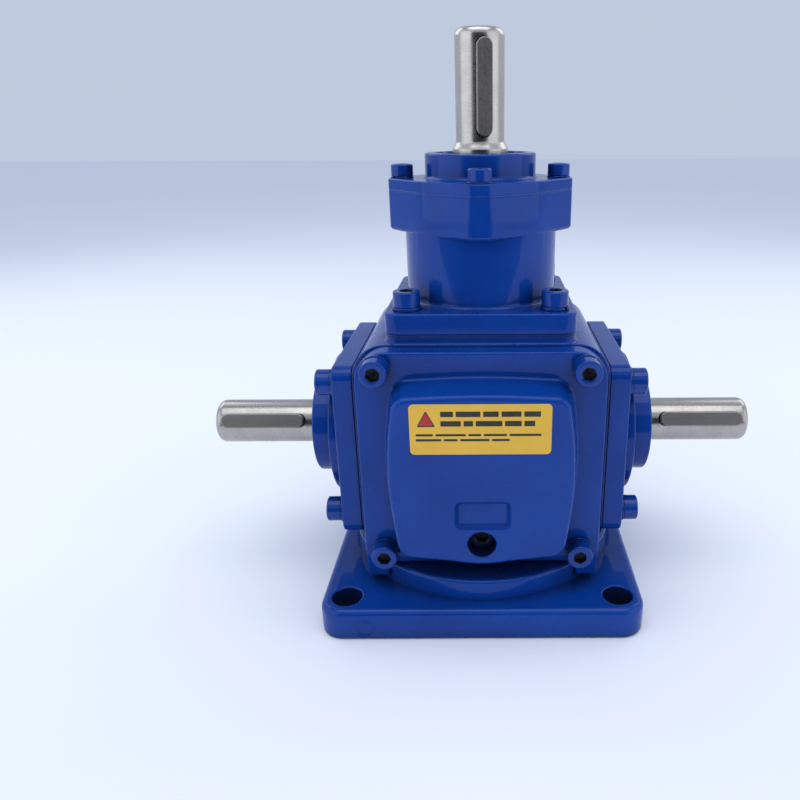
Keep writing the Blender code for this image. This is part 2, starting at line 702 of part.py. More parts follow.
def key_frame(shaft_frame, angle, along):
    """A frame on a shaft's axis whose Z points out at the key and whose Y runs along the shaft."""
    turn = Matrix.Rotation(angle, 4, "Z") @ Matrix.Rotation(math.radians(90), 4, "Y")
    turn = turn @ Matrix.Rotation(math.radians(-90), 4, "Z")
    return shaft_frame @ Matrix.Translation((0, 0, along * MM)) @ turn


def keyway(frame, length, depth_radius):
    """Cutting tool for a keyway in a shaft."""
    return slab("keyway", frame, shrunk(key_outline(length), -KEY_FIT),
                ((depth_radius - KEY_FIT, 0), (30.0, 0)))


def make_key(name, frame, length, seat_radius, parent):
    """A parallel key, standing proud of its shaft."""
    top = seat_radius + KEY_PROUD
    key = slab(name, frame, key_outline(length),
               ((top - KEY_HEIGHT, 0), (top - 0.4, 0), (top, 0.4)))
    finish(key, KEY_STEEL, parent)


def make_cross_shaft(parent):
    """The through shaft, with a key at each end and one under the crown gear."""
    tip, chamfer = SHAFT_TIP, TIP_CHAMFER
    shoulder = BEARING_SPAN[0] - GAP
    shaft = turned("cross_shaft", CROSS, (
        (SHAFT_RADIUS - chamfer, -tip),
        (SHAFT_RADIUS, -tip + chamfer),
        (SHAFT_RADIUS, -JOURNAL_END - 0.5),
        (JOURNAL_RADIUS, -JOURNAL_END),
        (JOURNAL_RADIUS, -shoulder),
        (COLLAR_RADIUS, -shoulder),
        (COLLAR_RADIUS, GEAR_STOP[0]),
        (GEAR_STOP_RADIUS, GEAR_STOP[0]),
        (GEAR_STOP_RADIUS, GEAR_STOP[1]),
        (GEAR_SEAT_RADIUS, GEAR_STOP[1]),
        (GEAR_SEAT_RADIUS, shoulder - GAP),
        (JOURNAL_RADIUS, shoulder - GAP),
        (JOURNAL_RADIUS, JOURNAL_END),
        (SHAFT_RADIUS, JOURNAL_END + 0.5),
        (SHAFT_RADIUS, tip - chamfer),
        (SHAFT_RADIUS - chamfer, tip)), SHAFT_SIDES)
    seat = SHAFT_RADIUS + KEY_PROUD - KEY_HEIGHT
    ends = [key_frame(CROSS, END_KEY_ANGLE, side * END_KEY_PLACE) for side in (-1, 1)]
    under_gear = key_frame(CROSS, 0.0, GEAR_KEY_PLACE)
    cut(shaft, keyway(ends[0], END_KEY_LENGTH + 1, seat), keyway(ends[1], END_KEY_LENGTH + 1, seat),
        keyway(under_gear, GEAR_KEY_LENGTH + 1, GEAR_KEY_SEAT))
    finish(shaft, STEEL, parent)
    make_key("left_shaft_key", ends[0], END_KEY_LENGTH, SHAFT_RADIUS, parent)
    make_key("right_shaft_key", ends[1], END_KEY_LENGTH, SHAFT_RADIUS, parent)
    make_key("crown_gear_key", under_gear, GEAR_KEY_LENGTH, GEAR_SEAT_RADIUS, parent)


def make_input_shaft(parent):
    """The upright shaft with its outer key and the key under the pinion."""
    def height(z):
        return z - AXIS_Z
    low_end, ring_low, ring_high = 84.0, 88.6, 90.4
    pinion_top = 114.9
    boss = END_BOSS_TOP
    shaft = turned("input_shaft", INPUT, (
        (GEAR_SEAT_RADIUS - 1.0, height(low_end)),
        (GEAR_SEAT_RADIUS, height(low_end + 1.0)),
        (GEAR_SEAT_RADIUS, height(ring_low)),
        (GEAR_SEAT_RADIUS - 1.0, height(ring_low)),
        (GEAR_SEAT_RADIUS - 1.0, height(ring_high)),
        (GEAR_SEAT_RADIUS, height(ring_high)),
        (GEAR_SEAT_RADIUS, height(pinion_top)),
        (INPUT_JOURNAL, height(pinion_top)),
        (INPUT_JOURNAL, height(LOWER_BEARING[1] + 2 * GAP)),
        (INPUT_JOURNAL + 4.5, height(LOWER_BEARING[1] + 2 * GAP)),
        (INPUT_JOURNAL + 4.5, height(UPPER_BEARING[0] - 2 * GAP)),
        (INPUT_JOURNAL, height(UPPER_BEARING[0] - 2 * GAP)),
        (INPUT_JOURNAL, height(UPPER_BEARING[1] + 1.5)),
        (GEAR_SEAT_RADIUS, height(UPPER_BEARING[1] + 2.5)),
        (GEAR_SEAT_RADIUS, height(boss + 1.2)),
        (SHAFT_RADIUS, height(boss + 4.0)),
        (SHAFT_RADIUS, height(INPUT_TIP - TIP_CHAMFER)),
        (SHAFT_RADIUS - TIP_CHAMFER, height(INPUT_TIP))), SHAFT_SIDES)
    outer = key_frame(INPUT, INPUT_KEY_ANGLE, height(INPUT_KEY_PLACE))
    inner = key_frame(INPUT, math.radians(180), GEAR_KEY_PLACE)
    cut(shaft, keyway(outer, INPUT_KEY_LENGTH + 1, SHAFT_RADIUS + KEY_PROUD - KEY_HEIGHT),
        keyway(inner, GEAR_KEY_LENGTH + 1, GEAR_KEY_SEAT))
    finish(shaft, STEEL, parent)
    make_key("input_shaft_key", outer, INPUT_KEY_LENGTH, SHAFT_RADIUS, parent)
    make_key("pinion_key", inner, GEAR_KEY_LENGTH, GEAR_SEAT_RADIUS, parent)
    inside = GEAR_SEAT_RADIUS - 0.75
    outside = GEAR_SEAT_RADIUS + 2.2
    low, high = height(ring_low + 0.3), height(ring_high - 0.3)
    ring = turned("pinion_retaining_ring", INPUT,
                  ((inside, low), (outside, low), (outside, high), (inside, high)),
                  COARSE, closed=True)
    finish(ring, BEARING_STEEL, parent)


# Gears --------------------------------------------------------------------------------------------

def half_tooth(rise, virtual_radius, module):
    """Half the angle that a tooth fills at a height above the pitch cone, about the gear's axis."""
    teeth = TEETH / math.cos(CONE)
    base = virtual_radius * math.cos(PRESSURE)
    radius = virtual_radius + rise * module

    def involute(angle):
        return math.tan(angle) - angle
    pressure_here = math.acos(min(1.0, base / radius))
    half = math.pi * TOOTH_SHARE / teeth + involute(PRESSURE) - involute(pressure_here)
    return half / math.cos(CONE)


def tooth_ring(share, hand, phase):
    """One section through all teeth at a share of the large end's cone distance."""
    pitch_radius = HEEL_RADIUS * share
    module = 2 * pitch_radius / TEETH
    virtual_radius = pitch_radius / math.cos(CONE)
    middle_share = (1 + TOE_SHARE) / 2
    twist = hand * math.tan(SPIRAL) / math.sin(CONE) * math.log(share / middle_share)
    points = []
    for tooth in range(TEETH):
        centre = phase + twist + 2 * math.pi * tooth / TEETH
        for side, rise in ((-1, -1.2), (-1, 0.0), (-1, 0.95), (1, 0.95), (1, 0.0), (1, -1.2)):
            angle = centre + side * half_tooth(rise, virtual_radius, module)
            radius = pitch_radius + rise * module * math.cos(CONE)
            height = pitch_radius - rise * module * math.sin(CONE)
            points.append(Vector((radius * math.cos(angle), radius * math.sin(angle), height)))
    return points


def make_gear(name, frame, parent, hand, phase, hub_top, key_angle):
    """A spiral bevel gear whose cone apex is the frame's origin, with its hub along +Z."""
    def web(share, fall):
        module = 2 * HEEL_RADIUS * share / TEETH
        radius = HEEL_RADIUS * share - fall * module * math.cos(CONE)
        height = HEEL_RADIUS * share + fall * module * math.sin(CONE)
        section = tooth_ring(share, hand, phase)
        return [Vector((radius * point.x, radius * point.y, 0)) / point.xy.length
                + Vector((0, 0, height)) for point in section]
    middle_share = (1 + TOE_SHARE) / 2
    rings = [web(TOE_SHARE, 1.7)]
    rings += [tooth_ring(share, hand, phase) for share in (TOE_SHARE, middle_share, 1.0)]
    rings.append(web(1.0, 1.7))
    gear = loft(name, frame, rings)
    hub = turned(name + "_hub", frame, ((GEAR_HUB, HEEL_RADIUS), (GEAR_HUB, hub_top)), COARSE)
    join(gear, hub)
    bore = turned(name + "_bore", frame, ((GEAR_BORE, 5), (GEAR_BORE, 60)), COARSE)
    slot_frame = key_frame(frame, key_angle, 30.0)
    slot = slab(name + "_slot", slot_frame, rounded_square(KEY_WIDTH / 2 + KEY_FIT, 30, 0.5, 1),
                ((5.0, 0), (GEAR_SEAT_RADIUS + KEY_PROUD + 2 * GAP, 0)))
    cut(gear, bore, slot)
    finish(gear, GEAR_STEEL, parent)


# Bearings and seals -------------------------------------------------------------------------------

def make_bearing(name, face, parent, bore, outer, low, high):
    """A tapered roller bearing: a fixed cup, and a cone with rollers that turns with its shaft."""
    raceway_wide = outer - 2.4
    raceway_narrow = outer - 5.6
    cup = turned(name + "_cup", face, (
        (raceway_wide, low + 2.5), (outer, low + 2.5), (outer, high), (raceway_narrow, high)),
        COARSE, closed=True)
    finish(cup, BEARING_STEEL)

    sides = ROLLERS * 2
    slope = (raceway_wide - raceway_narrow) / (high - low - 2.5)

    def roller_ring(height):
        top = raceway_wide - slope * (height - low - 2.5) - 0.45
        ring = circle(top, sides)
        return at_height([point * (1 if index % 2 else (top - 1.3) / top)
                          for index, point in enumerate(ring)], height)
    cone = loft(name + "_cone", face, [
        at_height(circle(bore + 0.15, sides), low),
        at_height(circle(bore + 6.2, sides), low),
        roller_ring(low + 2.6),
        roller_ring(high - 2.4),
        at_height(circle(bore + 3.2, sides), high - 1.0),
        at_height(circle(bore + 0.15, sides), high - 1.0),
    ], closed=True)
    finish(cone, BEARING_STEEL, parent)


def make_seal(name, face, low, high, shaft_radius):
    """A radial oil seal with a lip that slopes towards the shaft."""
    seal = turned(name, face, (
        (shaft_radius + 0.3, low + 2.0),
        (shaft_radius + 2.6, low),
        (SEAL_RADIUS, low),
        (SEAL_RADIUS, high),
        (shaft_radius + 1.6, high)), COARSE, closed=True)
    finish(seal, RUBBER)


def axis_empty(name, frame):
    """An empty on a shaft's axis that carries everything which turns with it."""
    empty = bpy.data.objects.new(name, None)
    bpy.context.scene.collection.objects.link(empty)
    empty.matrix_world = frame
    bpy.context.view_layer.update()
    return empty


def main():
    """Build the gearbox from an empty scene."""
    for old in list(bpy.data.objects):
        bpy.data.objects.remove(old)
    input_axis = axis_empty("input_axis", INPUT)
    cross_axis = axis_empty("cross_axis", CROSS)

    make_housing()
    make_cover("front_cover", FRONT)
    make_cover("rear_cover", REAR)
    make_side_cover("left_cover", LEFT)
    make_side_cover("right_cover", RIGHT)
    make_neck()
    make_end_cover()
    make_gaskets()
    make_screws()
    make_oil_plug("front_oil_plug", FRONT)
    make_oil_plug("rear_oil_plug", REAR)

    make_cross_shaft(cross_axis)
    make_input_shaft(input_axis)
    half_pitch = math.pi / TEETH
    make_gear("crown_gear", CROSS, cross_axis, -1, 0.0, BEARING_SPAN[0] - GAP, 0.0)
    make_gear("input_pinion", INPUT, input_axis, 1, half_pitch, PINION_HUB_TOP, math.radians(180))

    for side, face in (("left", LEFT), ("right", RIGHT)):
        make_bearing(side + "_bearing", face, cross_axis, JOURNAL_RADIUS, BEARING_OUTER,
                     *BEARING_SPAN)
        make_seal(side + "_oil_seal", face, *SEAL_SPAN, JOURNAL_RADIUS)
    make_bearing("upper_bearing", UPRIGHT, input_axis, INPUT_JOURNAL, INPUT_BEARING_OUTER,
                 *UPPER_BEARING)
    make_bearing("lower_bearing", DOWNWARD, input_axis, INPUT_JOURNAL, INPUT_BEARING_OUTER,
                 -LOWER_BEARING[1], -LOWER_BEARING[0])
    make_seal("input_oil_seal", UPRIGHT, *INPUT_SEAL, GEAR_SEAT_RADIUS)


main()
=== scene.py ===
"""Right angle bevel gearbox on a pale studio floor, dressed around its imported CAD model.

Shapes are in millimetres, in the model's own frame: the origin is the centre of the foot's
underside, +X runs along the cross shaft, the front cover faces -Y and the input shaft points up.
"""

import math

import bmesh
import bpy
from mathutils import Matrix, Vector


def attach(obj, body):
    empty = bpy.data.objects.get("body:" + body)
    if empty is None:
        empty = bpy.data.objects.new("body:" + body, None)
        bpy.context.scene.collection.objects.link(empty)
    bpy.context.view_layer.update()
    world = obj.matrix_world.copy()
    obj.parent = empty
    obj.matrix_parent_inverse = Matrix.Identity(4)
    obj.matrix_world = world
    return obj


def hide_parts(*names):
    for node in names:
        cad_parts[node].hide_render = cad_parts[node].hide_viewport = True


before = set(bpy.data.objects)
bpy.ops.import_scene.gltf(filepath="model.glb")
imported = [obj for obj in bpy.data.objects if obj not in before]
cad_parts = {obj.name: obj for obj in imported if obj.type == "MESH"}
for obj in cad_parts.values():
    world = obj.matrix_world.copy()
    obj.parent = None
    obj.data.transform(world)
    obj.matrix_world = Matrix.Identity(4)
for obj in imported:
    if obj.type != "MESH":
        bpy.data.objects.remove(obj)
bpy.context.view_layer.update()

MM = 0.001  # metres in a millimetre
ROUND = 96  # sides of the large round shapes
SMALL = 40  # sides of the small round shapes
TURNED = 48  # sides of the screws and plugs
BEND = 10  # steps round a corner
RIM = 5  # steps over a rounded edge
SINK = 0.03  # how far a fillet starts inside the face it stands on

# Heights are above the floor. Distances out along X and Y are from the middle of the box.
AXIS_Z = 67.7
FOOT_HALF, FOOT_THICK, FOOT_CORNER = 65.3, 13.3, 9.5
FOOT_HOLE, FOOT_HOLE_PLACE = 6.0, 55.0
CAST_RING = (-46.6, 5.4)  # middle of the shallow ring in the foot's front edge
PEDESTAL, PEDESTAL_TOP = 58.4, 22.3  # radius and height of the round part on the foot
BOX_X, BOX_Y, BOX_TOP, BOX_CORNER = 49.6, 36.6, 114.2, 12.5
NECK_SEAT = 117.2  # raised pad on the box that the neck stands on
SEAT_HALF = BOX_Y - 0.1  # half of that pad, and of the gaskets of the square flanges
REGISTER = 30.0  # radius of the bores that locate the side covers and the neck
CAVITY = 40.0  # from the shafts' crossing to the floor and roof inside the box
CAVITY_HALF, CAVITY_FLAT, CAVITY_RISE = 41.0, 31.0, 14.5  # its width and its cut corners
COVER_HALF, COVER_TOP, COVER_BOTTOM = 48.0, 113.8, 22.7
COVER_IN, COVER_OUT = 37.6, 45.2
EAR_IN, EAR_OUT, EAR_BOTTOM = 38.6, 47.5, 16.2
EAR_ROOM = 0.4  # gap between the ears and the notches they stand in
PAD_FRONT, PAD_DRAFT, PAD_EDGE, PAD_WALL = 59.5, 1.6, 2.0, 5.0
PLUG_Z, PLUG_HOLE, PLUG_BOSS, PLUG_SUNK = 40.0, 5.6, 8.4, 5.5
PLUG_SOCKET = 2.9
RECESS_X, RECESS_Z, RECESS_WIDE, RECESS_TALL, RECESS_DEEP = 0.4, 53.0, 10.95, 6.2, 1.7
FLANGE, FLANGE_CORNER = 36.8, 5.0
SIDE_IN, SIDE_OUT, SIDE_STEP, SIDE_BOSS = 50.4, 58.6, 63.3, 71.9
STEP_R, BOSS_R, SEAL_R = 30.6, 22.0, 17.75
NECK_BOTTOM, NECK_FLANGE, LUG_BOTTOM, NECK_TOP = 118.1, 126.2, 152.9, 168.2
LUG_REACH, LUG_TIP, LUG_ROUND, LUG_BARREL = 36.6, 3.6, 4.0, 30.9
END_BOTTOM, END_PLATE, END_BOSS = 168.9, 173.0, 182.4
SPIGOT = REGISTER - 0.3  # part of a cover or the neck that enters a register bore
CUP_R, CUP_TOP = 23.7, 61.3  # bore for the outer ring of a cross shaft bearing
NECK_LOW_R, NECK_CUP_R, NECK_STEP = 22.0, 26.2, 121.7  # bore of the neck and its step
END_SPIGOT = 25.9
RELIEF_R = 19.5  # room round a shaft behind its oil seal
SIDE_SEAL = (64.8, 71.1, 10.0)  # low and high face of an oil seal, and its shaft's radius
INPUT_SEAL = (174.9, 181.6, 11.0)
COVER_BOLT, COVER_MIDDLE = (39.5, 39.2), 68.3
NECK_BOLT, SIDE_BOLT, END_BOLT = 28.5, 28.8, 31.2
M6_HOLE, M5_HOLE = 3.4, 2.9  # radii of the holes round the screws
SHAFT_R, SHAFT_TIP, INPUT_TIP = 9.5, 117.6, 226.4
SEAT_R, INPUT_SEAT_R = 10.0, 11.0  # radii of the shafts under their bearings and seals
END_LONG, END_DEEP = 3.0, 2.2  # rounding of the shafts' ends
KEY_WIDE, KEY_TALL, KEY_PROUD, KEY_FIT = 6.0, 6.0, 2.5, 0.15
KEY_BED = SHAFT_R + KEY_PROUD - KEY_TALL  # from the shaft's axis to the floor of a keyway
KEYWAY_MORE = 0.7  # how much longer a keyway is than its key
# A key's length, the place of its middle along the shaft, and its turn about it in degrees.
SIDE_KEY, SIDE_KEY_PLACE, SIDE_KEY_TURN = 36.0, 96.0, 68
INPUT_KEY, INPUT_KEY_PLACE, INPUT_KEY_TURN = 34.0, 205.4, -80
GEAR_KEYWAY, GEAR_KEY_PLACE, GEAR_KEY_BED = 18.0, 35.5, 7.5
LABEL_X, LABEL_Z = (-26.1, 25.7), (79.1, 99.0)  # left and right edges, low and high edges
LABEL_THICK, MARK_X = 0.18, -20.0


def facing(right, up, outward, origin=(0.0, 0.0, 0.0)):
    """A frame whose X, Y and Z axes are the three given world directions."""
    made = Matrix((right, up, outward)).transposed().to_4x4()
    made.translation = Vector(origin) * MM
    return made


ON_AXIS = (0.0, 0.0, AXIS_Z)
UPRIGHT = facing((1, 0, 0), (0, 1, 0), (0, 0, 1))
FRONT = facing((1, 0, 0), (0, 0, 1), (0, -1, 0))
REAR = facing((-1, 0, 0), (0, 0, 1), (0, 1, 0))
LEFT = facing((0, -1, 0), (0, 0, 1), (-1, 0, 0), ON_AXIS)
RIGHT = facing((0, 1, 0), (0, 0, 1), (1, 0, 0), ON_AXIS)
CROSS = facing((0, 0, 1), (0, -1, 0), (1, 0, 0), ON_AXIS)


# Outlines and edge profiles -----------------------------------------------------------------------

def circle(radius, sides=ROUND, middle=(0.0, 0.0)):
    """Points of a circle, counter-clockwise."""
    angles = [2 * math.pi * side / sides for side in range(sides)]
    return [Vector((middle[0] + radius * math.cos(a), middle[1] + radius * math.sin(a)))
            for a in angles]


def rounded(corners):
    """An outline through corners given as (x, y, radius), each rounded by an arc."""
    points = []
    for index, (x, y, radius) in enumerate(corners):
        corner = Vector((x, y))
        back = (Vector(corners[index - 1][:2]) - corner).normalized()
        ahead = (Vector(corners[(index + 1) % len(corners)][:2]) - corner).normalized()
        if radius == 0:
            points.append(corner)
            continue
        half = back.angle(ahead) / 2
        centre = corner + (back + ahead).normalized() * (radius / math.sin(half))
        start = corner + back * (radius / math.tan(half)) - centre
        sweep = start.angle_signed(corner + ahead * (radius / math.tan(half)) - centre)
        steps = max(3, round(abs(sweep) * BEND / 1.57), round(abs(sweep) * radius / 4))
        for step in range(steps + 1):
            points.append(centre + Matrix.Rotation(-sweep * step / steps, 2) @ start)
    return [p for i, p in enumerate(points) if (p - points[i - 1]).length > 1e-4]


def rectangle(half_x, half_y, radius, middle=(0.0, 0.0)):
    """A rectangle with round corners."""
    signs = ((1, -1), (1, 1), (-1, 1), (-1, -1))
    return rounded([(middle[0] + sx * half_x, middle[1] + sy * half_y, radius)
                    for sx, sy in signs])


def mirrored(half):
    """Complete an outline from its right half, listed from the bottom up."""
    return rounded(list(half) + [(-x, *rest) for x, *rest in reversed(half) if x > 0])


def shrunk(outline, distance):
    """Move every edge of a counter-clockwise outline inward by one distance."""
    moved = []
    for index, point in enumerate(outline):
        before = (point - outline[index - 1]).normalized()
        after = (outline[(index + 1) % len(outline)] - point).normalized()
        normals = Vector((-before.y, before.x)) + Vector((-after.y, after.x))
        moved.append(point + normals * (distance / (1 + before.dot(after))))
    return moved


def quarter(steps=RIM):
    """Angles from 0 to 90 degrees."""
    return [math.pi / 2 * step / steps for step in range(steps + 1)]


def rim(top, radius, inset=0.0):
    """Levels (height, inset) of a rounded edge below a face."""
    return [(top - radius + radius * math.sin(a), inset + radius * (1 - math.cos(a)))
            for a in quarter()]


def under(bottom, radius, inset=0.0):
    """Levels of a rounded edge above an underside."""
    return [(2 * bottom - height, shift) for height, shift in reversed(rim(bottom, radius, inset))]


def root(base, radius, inset=0.0):
    """Levels of a hollow fillet that stands on a face."""
    base -= SINK
    return [(base - 0.6, inset - radius)] + [
        (base + radius * (1 - math.cos(a)), inset - radius * (1 - math.sin(a)))
        for a in quarter()]


def about(radius, levels):
    """Turn levels into a turned profile of (radius, height)."""
    return [(radius - inset, height) for height, inset in levels]


# Solids -------------------------------------------------------------------------------------------

def make(name, builder, place=UPRIGHT):
    """Turn a bmesh in millimetres into an object whose own axes are the model's."""
    bmesh.ops.scale(builder, vec=(MM, MM, MM), verts=builder.verts)
    bmesh.ops.transform(builder, matrix=place, verts=builder.verts)
    bmesh.ops.recalc_face_normals(builder, faces=builder.faces)
    mesh = bpy.data.meshes.new(name)
    builder.to_mesh(mesh)
    builder.free()
    thing = bpy.data.objects.new(name, mesh)
    bpy.context.scene.collection.objects.link(thing)
    return thing


def skin(builder, rings, closed=False):
    """Skin a stack of rings, and cap the ends unless it closes on itself."""
    layers = [[builder.verts.new(point) for point in ring] for ring in rings]
    pairs = list(zip(layers, layers[1:])) + ([(layers[-1], layers[0])] if closed else [])
    for low, high in pairs:
        for i in range(len(low)):
            j = (i + 1) % len(low)
            builder.faces.new((low[i], low[j], high[j], high[i]))
    if not closed:
        builder.faces.new(list(reversed(layers[0])))
        builder.faces.new(layers[-1])


def lifted(outline, height):
    """A flat outline at a height."""
    return [Vector((p.x, p.y, height)) for p in outline]


def slab(name, place, outline, levels):
    """A plate from an outline and its levels of (height, inset)."""
    builder = bmesh.new()
    skin(builder, [lifted(shrunk(outline, inset), height) for height, inset in levels])
    return make(name, builder, place)


def turned(name, place, profile, sides=ROUND, closed=False, middle=(0.0, 0.0)):
    """A turned solid from a profile of (radius, height). A closed profile leaves a bore."""
    builder = bmesh.new()
    skin(builder, [lifted(circle(r, sides, middle), h) for r, h in profile], closed)
    return make(name, builder, place)


def drills(name, place, spots, profile, sides=SMALL):
    """The same turned tool at several spots of a face."""
    builder = bmesh.new()
    for spot in spots:
        skin(builder, [lifted(circle(r, sides, spot), h) for r, h in profile])
    return make(name, builder, place)


def drill(radius, low, face, chamfer=0.5):
    """Profile of a hole with a chamfer where it opens at a face."""
    return [(radius, low), (radius, face - chamfer), (radius + chamfer, face),
            (radius + chamfer, face + 5)]


def combine(target, tools, operation):
    """Apply a Boolean with each tool in turn, and remove the tools."""
    for tool in tools:
        modifier = target.modifiers.new(operation.lower(), "BOOLEAN")
        modifier.operation = operation
        modifier.solver = "EXACT"
        modifier.object = tool
    bpy.context.view_layer.update()
    shape = target.evaluated_get(bpy.context.evaluated_depsgraph_get())
    target.data, old = bpy.data.meshes.new_from_object(shape), target.data
    target.modifiers.clear()
    bpy.data.meshes.remove(old)
    for tool in tools:
        bpy.data.objects.remove(tool)
    return target


def cut(target, *tools):
    """Remove the tools' shapes."""
    return combine(target, tools, "DIFFERENCE")


def join(target, *tools):
    """Add the tools' shapes."""
    return combine(target, tools, "UNION")


def dress(thing, looks, body="root", stands_for=(), sharp=32):
    """Shade a piece, give it its materials, and hang it on its body."""
    looks = looks if isinstance(looks, (list, tuple)) else [looks]
    if not thing.data.materials:
        for look in looks:
            thing.data.materials.append(look)
    thing.data.shade_smooth()
    thing.data.set_sharp_from_angle(angle=math.radians(sharp))
    flat = thing.modifiers.new("flat_faces", "WEIGHTED_NORMAL")
    flat.keep_sharp = True
    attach(thing, body)
    if stands_for:
        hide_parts(*stands_for)
    return thing


# Materials ----------------------------------------------------------------------------------------

class Look:
    """A procedural material under construction."""

    def __init__(self, name, **constants):
        self.material = bpy.data.materials.new(name)
        self.material.use_nodes = True
        self.nodes = self.material.node_tree.nodes
        self.links = self.material.node_tree.links
        self.shader = self.nodes["Principled BSDF"]
        self.place = self.nodes.new("ShaderNodeTexCoord").outputs["Object"]
        self.bumped = None
        for socket, value in constants.items():
            self.shader.inputs[socket.replace("_", " ")].default_value = value

    def noise(self, size, detail=3.0, rough=0.5, stretch=(1, 1, 1)):
        """Noise whose features measure about size millimetres, longer where stretch is large."""
        mapping = self.nodes.new("ShaderNodeMapping")
        mapping.inputs["Scale"].default_value = [1 / s for s in stretch]
        self.links.new(self.place, mapping.inputs["Vector"])
        made = self.nodes.new("ShaderNodeTexNoise")
        made.inputs["Scale"].default_value = 1 / (size * MM)
        made.inputs["Detail"].default_value = detail
        made.inputs["Roughness"].default_value = rough
        self.links.new(mapping.outputs["Vector"], made.inputs["Vector"])
        return made.outputs["Fac"]

    def spread(self, value, low, high, out_low, out_high):
        """Map a value's range low..high to another range."""
        node = self.nodes.new("ShaderNodeMapRange")
        for socket, number in zip(("From Min", "From Max", "To Min", "To Max"),
                                  (low, high, out_low, out_high)):
            node.inputs[socket].default_value = number
        self.links.new(value, node.inputs["Value"])
        return node.outputs["Result"]

    def blend(self, share, first, second):
        """Mix two colours, or colour outputs, by a share."""
        node = self.nodes.new("ShaderNodeMix")
        node.data_type = "RGBA"
        self.links.new(share, node.inputs["Factor"])
        sockets = [s for s in node.inputs if s.type == "RGBA"]
        for socket, colour in zip(sockets, (first, second)):
            if isinstance(colour, tuple):
                socket.default_value = (*colour, 1.0)
            else:
                self.links.new(colour, socket)
        return [s for s in node.outputs if s.type == "RGBA"][0]

    def math(self, operation, first, second):
        """One step of arithmetic on two values."""
        node = self.nodes.new("ShaderNodeMath")
        node.operation = operation
        for socket, value in zip(node.inputs, (first, second)):
            if isinstance(value, (int, float)):
                socket.default_value = value
            else:
                self.links.new(value, socket)
        return node.outputs[0]

    def bump(self, height, distance):
        """Add a bump whose full height is a distance in millimetres."""
        node = self.nodes.new("ShaderNodeBump")
        node.inputs["Strength"].default_value = 1.0
        node.inputs["Distance"].default_value = distance * MM
        self.links.new(height, node.inputs["Height"])
        if self.bumped is not None:
            self.links.new(self.bumped, node.inputs["Normal"])
        self.bumped = node.outputs["Normal"]
        self.links.new(self.bumped, self.shader.inputs["Normal"])

    def crevice(self, reach):
        """How open a spot is, from 0 deep in a corner to 1 on a free face."""
        node = self.nodes.new("ShaderNodeAmbientOcclusion")
        node.samples = 8
        node.inputs["Distance"].default_value = reach * MM
        return node.outputs["AO"]

    def set(self, socket, value):
        """Drive one of the shader's sockets."""
        self.links.new(value, self.shader.inputs[socket])


PAINTED_SHADE_TONE = (0.003, 0.010, 0.045)  # painted shade: the colour the enamel turns to deep in a corner
PAINTED_SHADE_REACH = 14.0  # how near another wall has to be for the painted shade of a corner


def paint_look(name, deep, light, roughness=(0.20, 0.34), coarse=0.14, coat=0.42, fine=0.016):
    """Thick glossy enamel sprayed over cast iron, with painted shade darkening it deep in the
    corners.
    """
    look = Look(name, Coat_Weight=coat, Coat_Roughness=0.06, Specular_IOR_Level=0.05)
    cloud = look.noise(26.0, 4.0)
    grain = look.noise(1.6, 3.0)
    enamel = look.blend(
        look.spread(look.math("ADD", cloud, look.math("MULTIPLY", grain, 0.25)), 0.45, 0.8, 0, 1),
        deep, light)
    # Painted shade: ambient occlusion blends the enamel towards a dark shade tone near other walls.
    open_share = look.spread(look.crevice(PAINTED_SHADE_REACH), 0.15, 0.75, 0, 1)
    look.set("Base Color", look.blend(open_share, PAINTED_SHADE_TONE, enamel))
    look.set("Roughness", look.spread(look.noise(7.0, 5.0, 0.6), 0.3, 0.7, *roughness))
    look.bump(look.noise(14.0, 2.0), coarse)
    look.bump(look.noise(1.7, 2.0), fine)
    return look.material


def steel_look(name, tone, roughness, stretch, marks=0.010):
    """Ground steel: fine grinding lines, faint stains and a few dark specks."""
    look = Look(name, Metallic=1.0)
    stain = look.noise(9.0, 5.0, 0.65)
    lines = look.noise(0.22, 3.0, 0.6, stretch)
    speck = look.noise(0.9, 4.0, 0.7)
    stained, scored, specked = (tuple(c * share for c in tone) for share in (0.80, 0.7, 0.35))
    clean = look.blend(look.spread(stain, 0.35, 0.7, 0, 1), tone, stained)
    lined = look.blend(look.spread(lines, 0.3, 0.75, 0, 0.45), clean, scored)
    look.set("Base Color", look.blend(look.spread(speck, 0.66, 0.76, 0, 0.35), lined, specked))
    look.set("Roughness", look.spread(look.math("ADD", lines, stain), 0.7, 1.3, *roughness))
    look.bump(lines, marks)
    return look.material


def dull_look(name, first, second, size, roughness, bump, **constants):
    """Rubber, gasket paper, blackened steel, plug paint darkened as painted shade, vinyl and ink:
    two tones and a fine grain.
    """
    look = Look(name, **constants)
    cloud = look.noise(size, 4.0, 0.6)
    grain = look.noise(size / 9, 3.0, 0.6)
    look.set("Base Color", look.blend(look.spread(cloud, 0.35, 0.68, 0, 1), first, second))
    look.set("Roughness", look.spread(grain, 0.3, 0.7, *roughness))
    look.bump(grain, bump)
    return look.material


BLUE = paint_look("blue_enamel", (0.0017, 0.037, 0.240), (0.0028, 0.049, 0.295))
SCREW_BLUE = paint_look("screw_enamel", (0.0017, 0.035, 0.230), (0.0032, 0.050, 0.300), coarse=0.03,
                        coat=0.6)
SEAM_BLUE = paint_look("seam_enamel", (0.0015, 0.034, 0.215), (0.0036, 0.058, 0.330), (0.15, 0.3),
                       coarse=0.2, coat=0.6, fine=0.35)
# Painted shade: darker, duller enamel for the walls of the foot holes and the oil plug holes, where
# light hardly reaches.
SHADED = paint_look("painted_shade_hole_enamel", (0.0012, 0.010, 0.070), (0.0022, 0.016, 0.100), (0.4, 0.6),
                    coat=0.05)
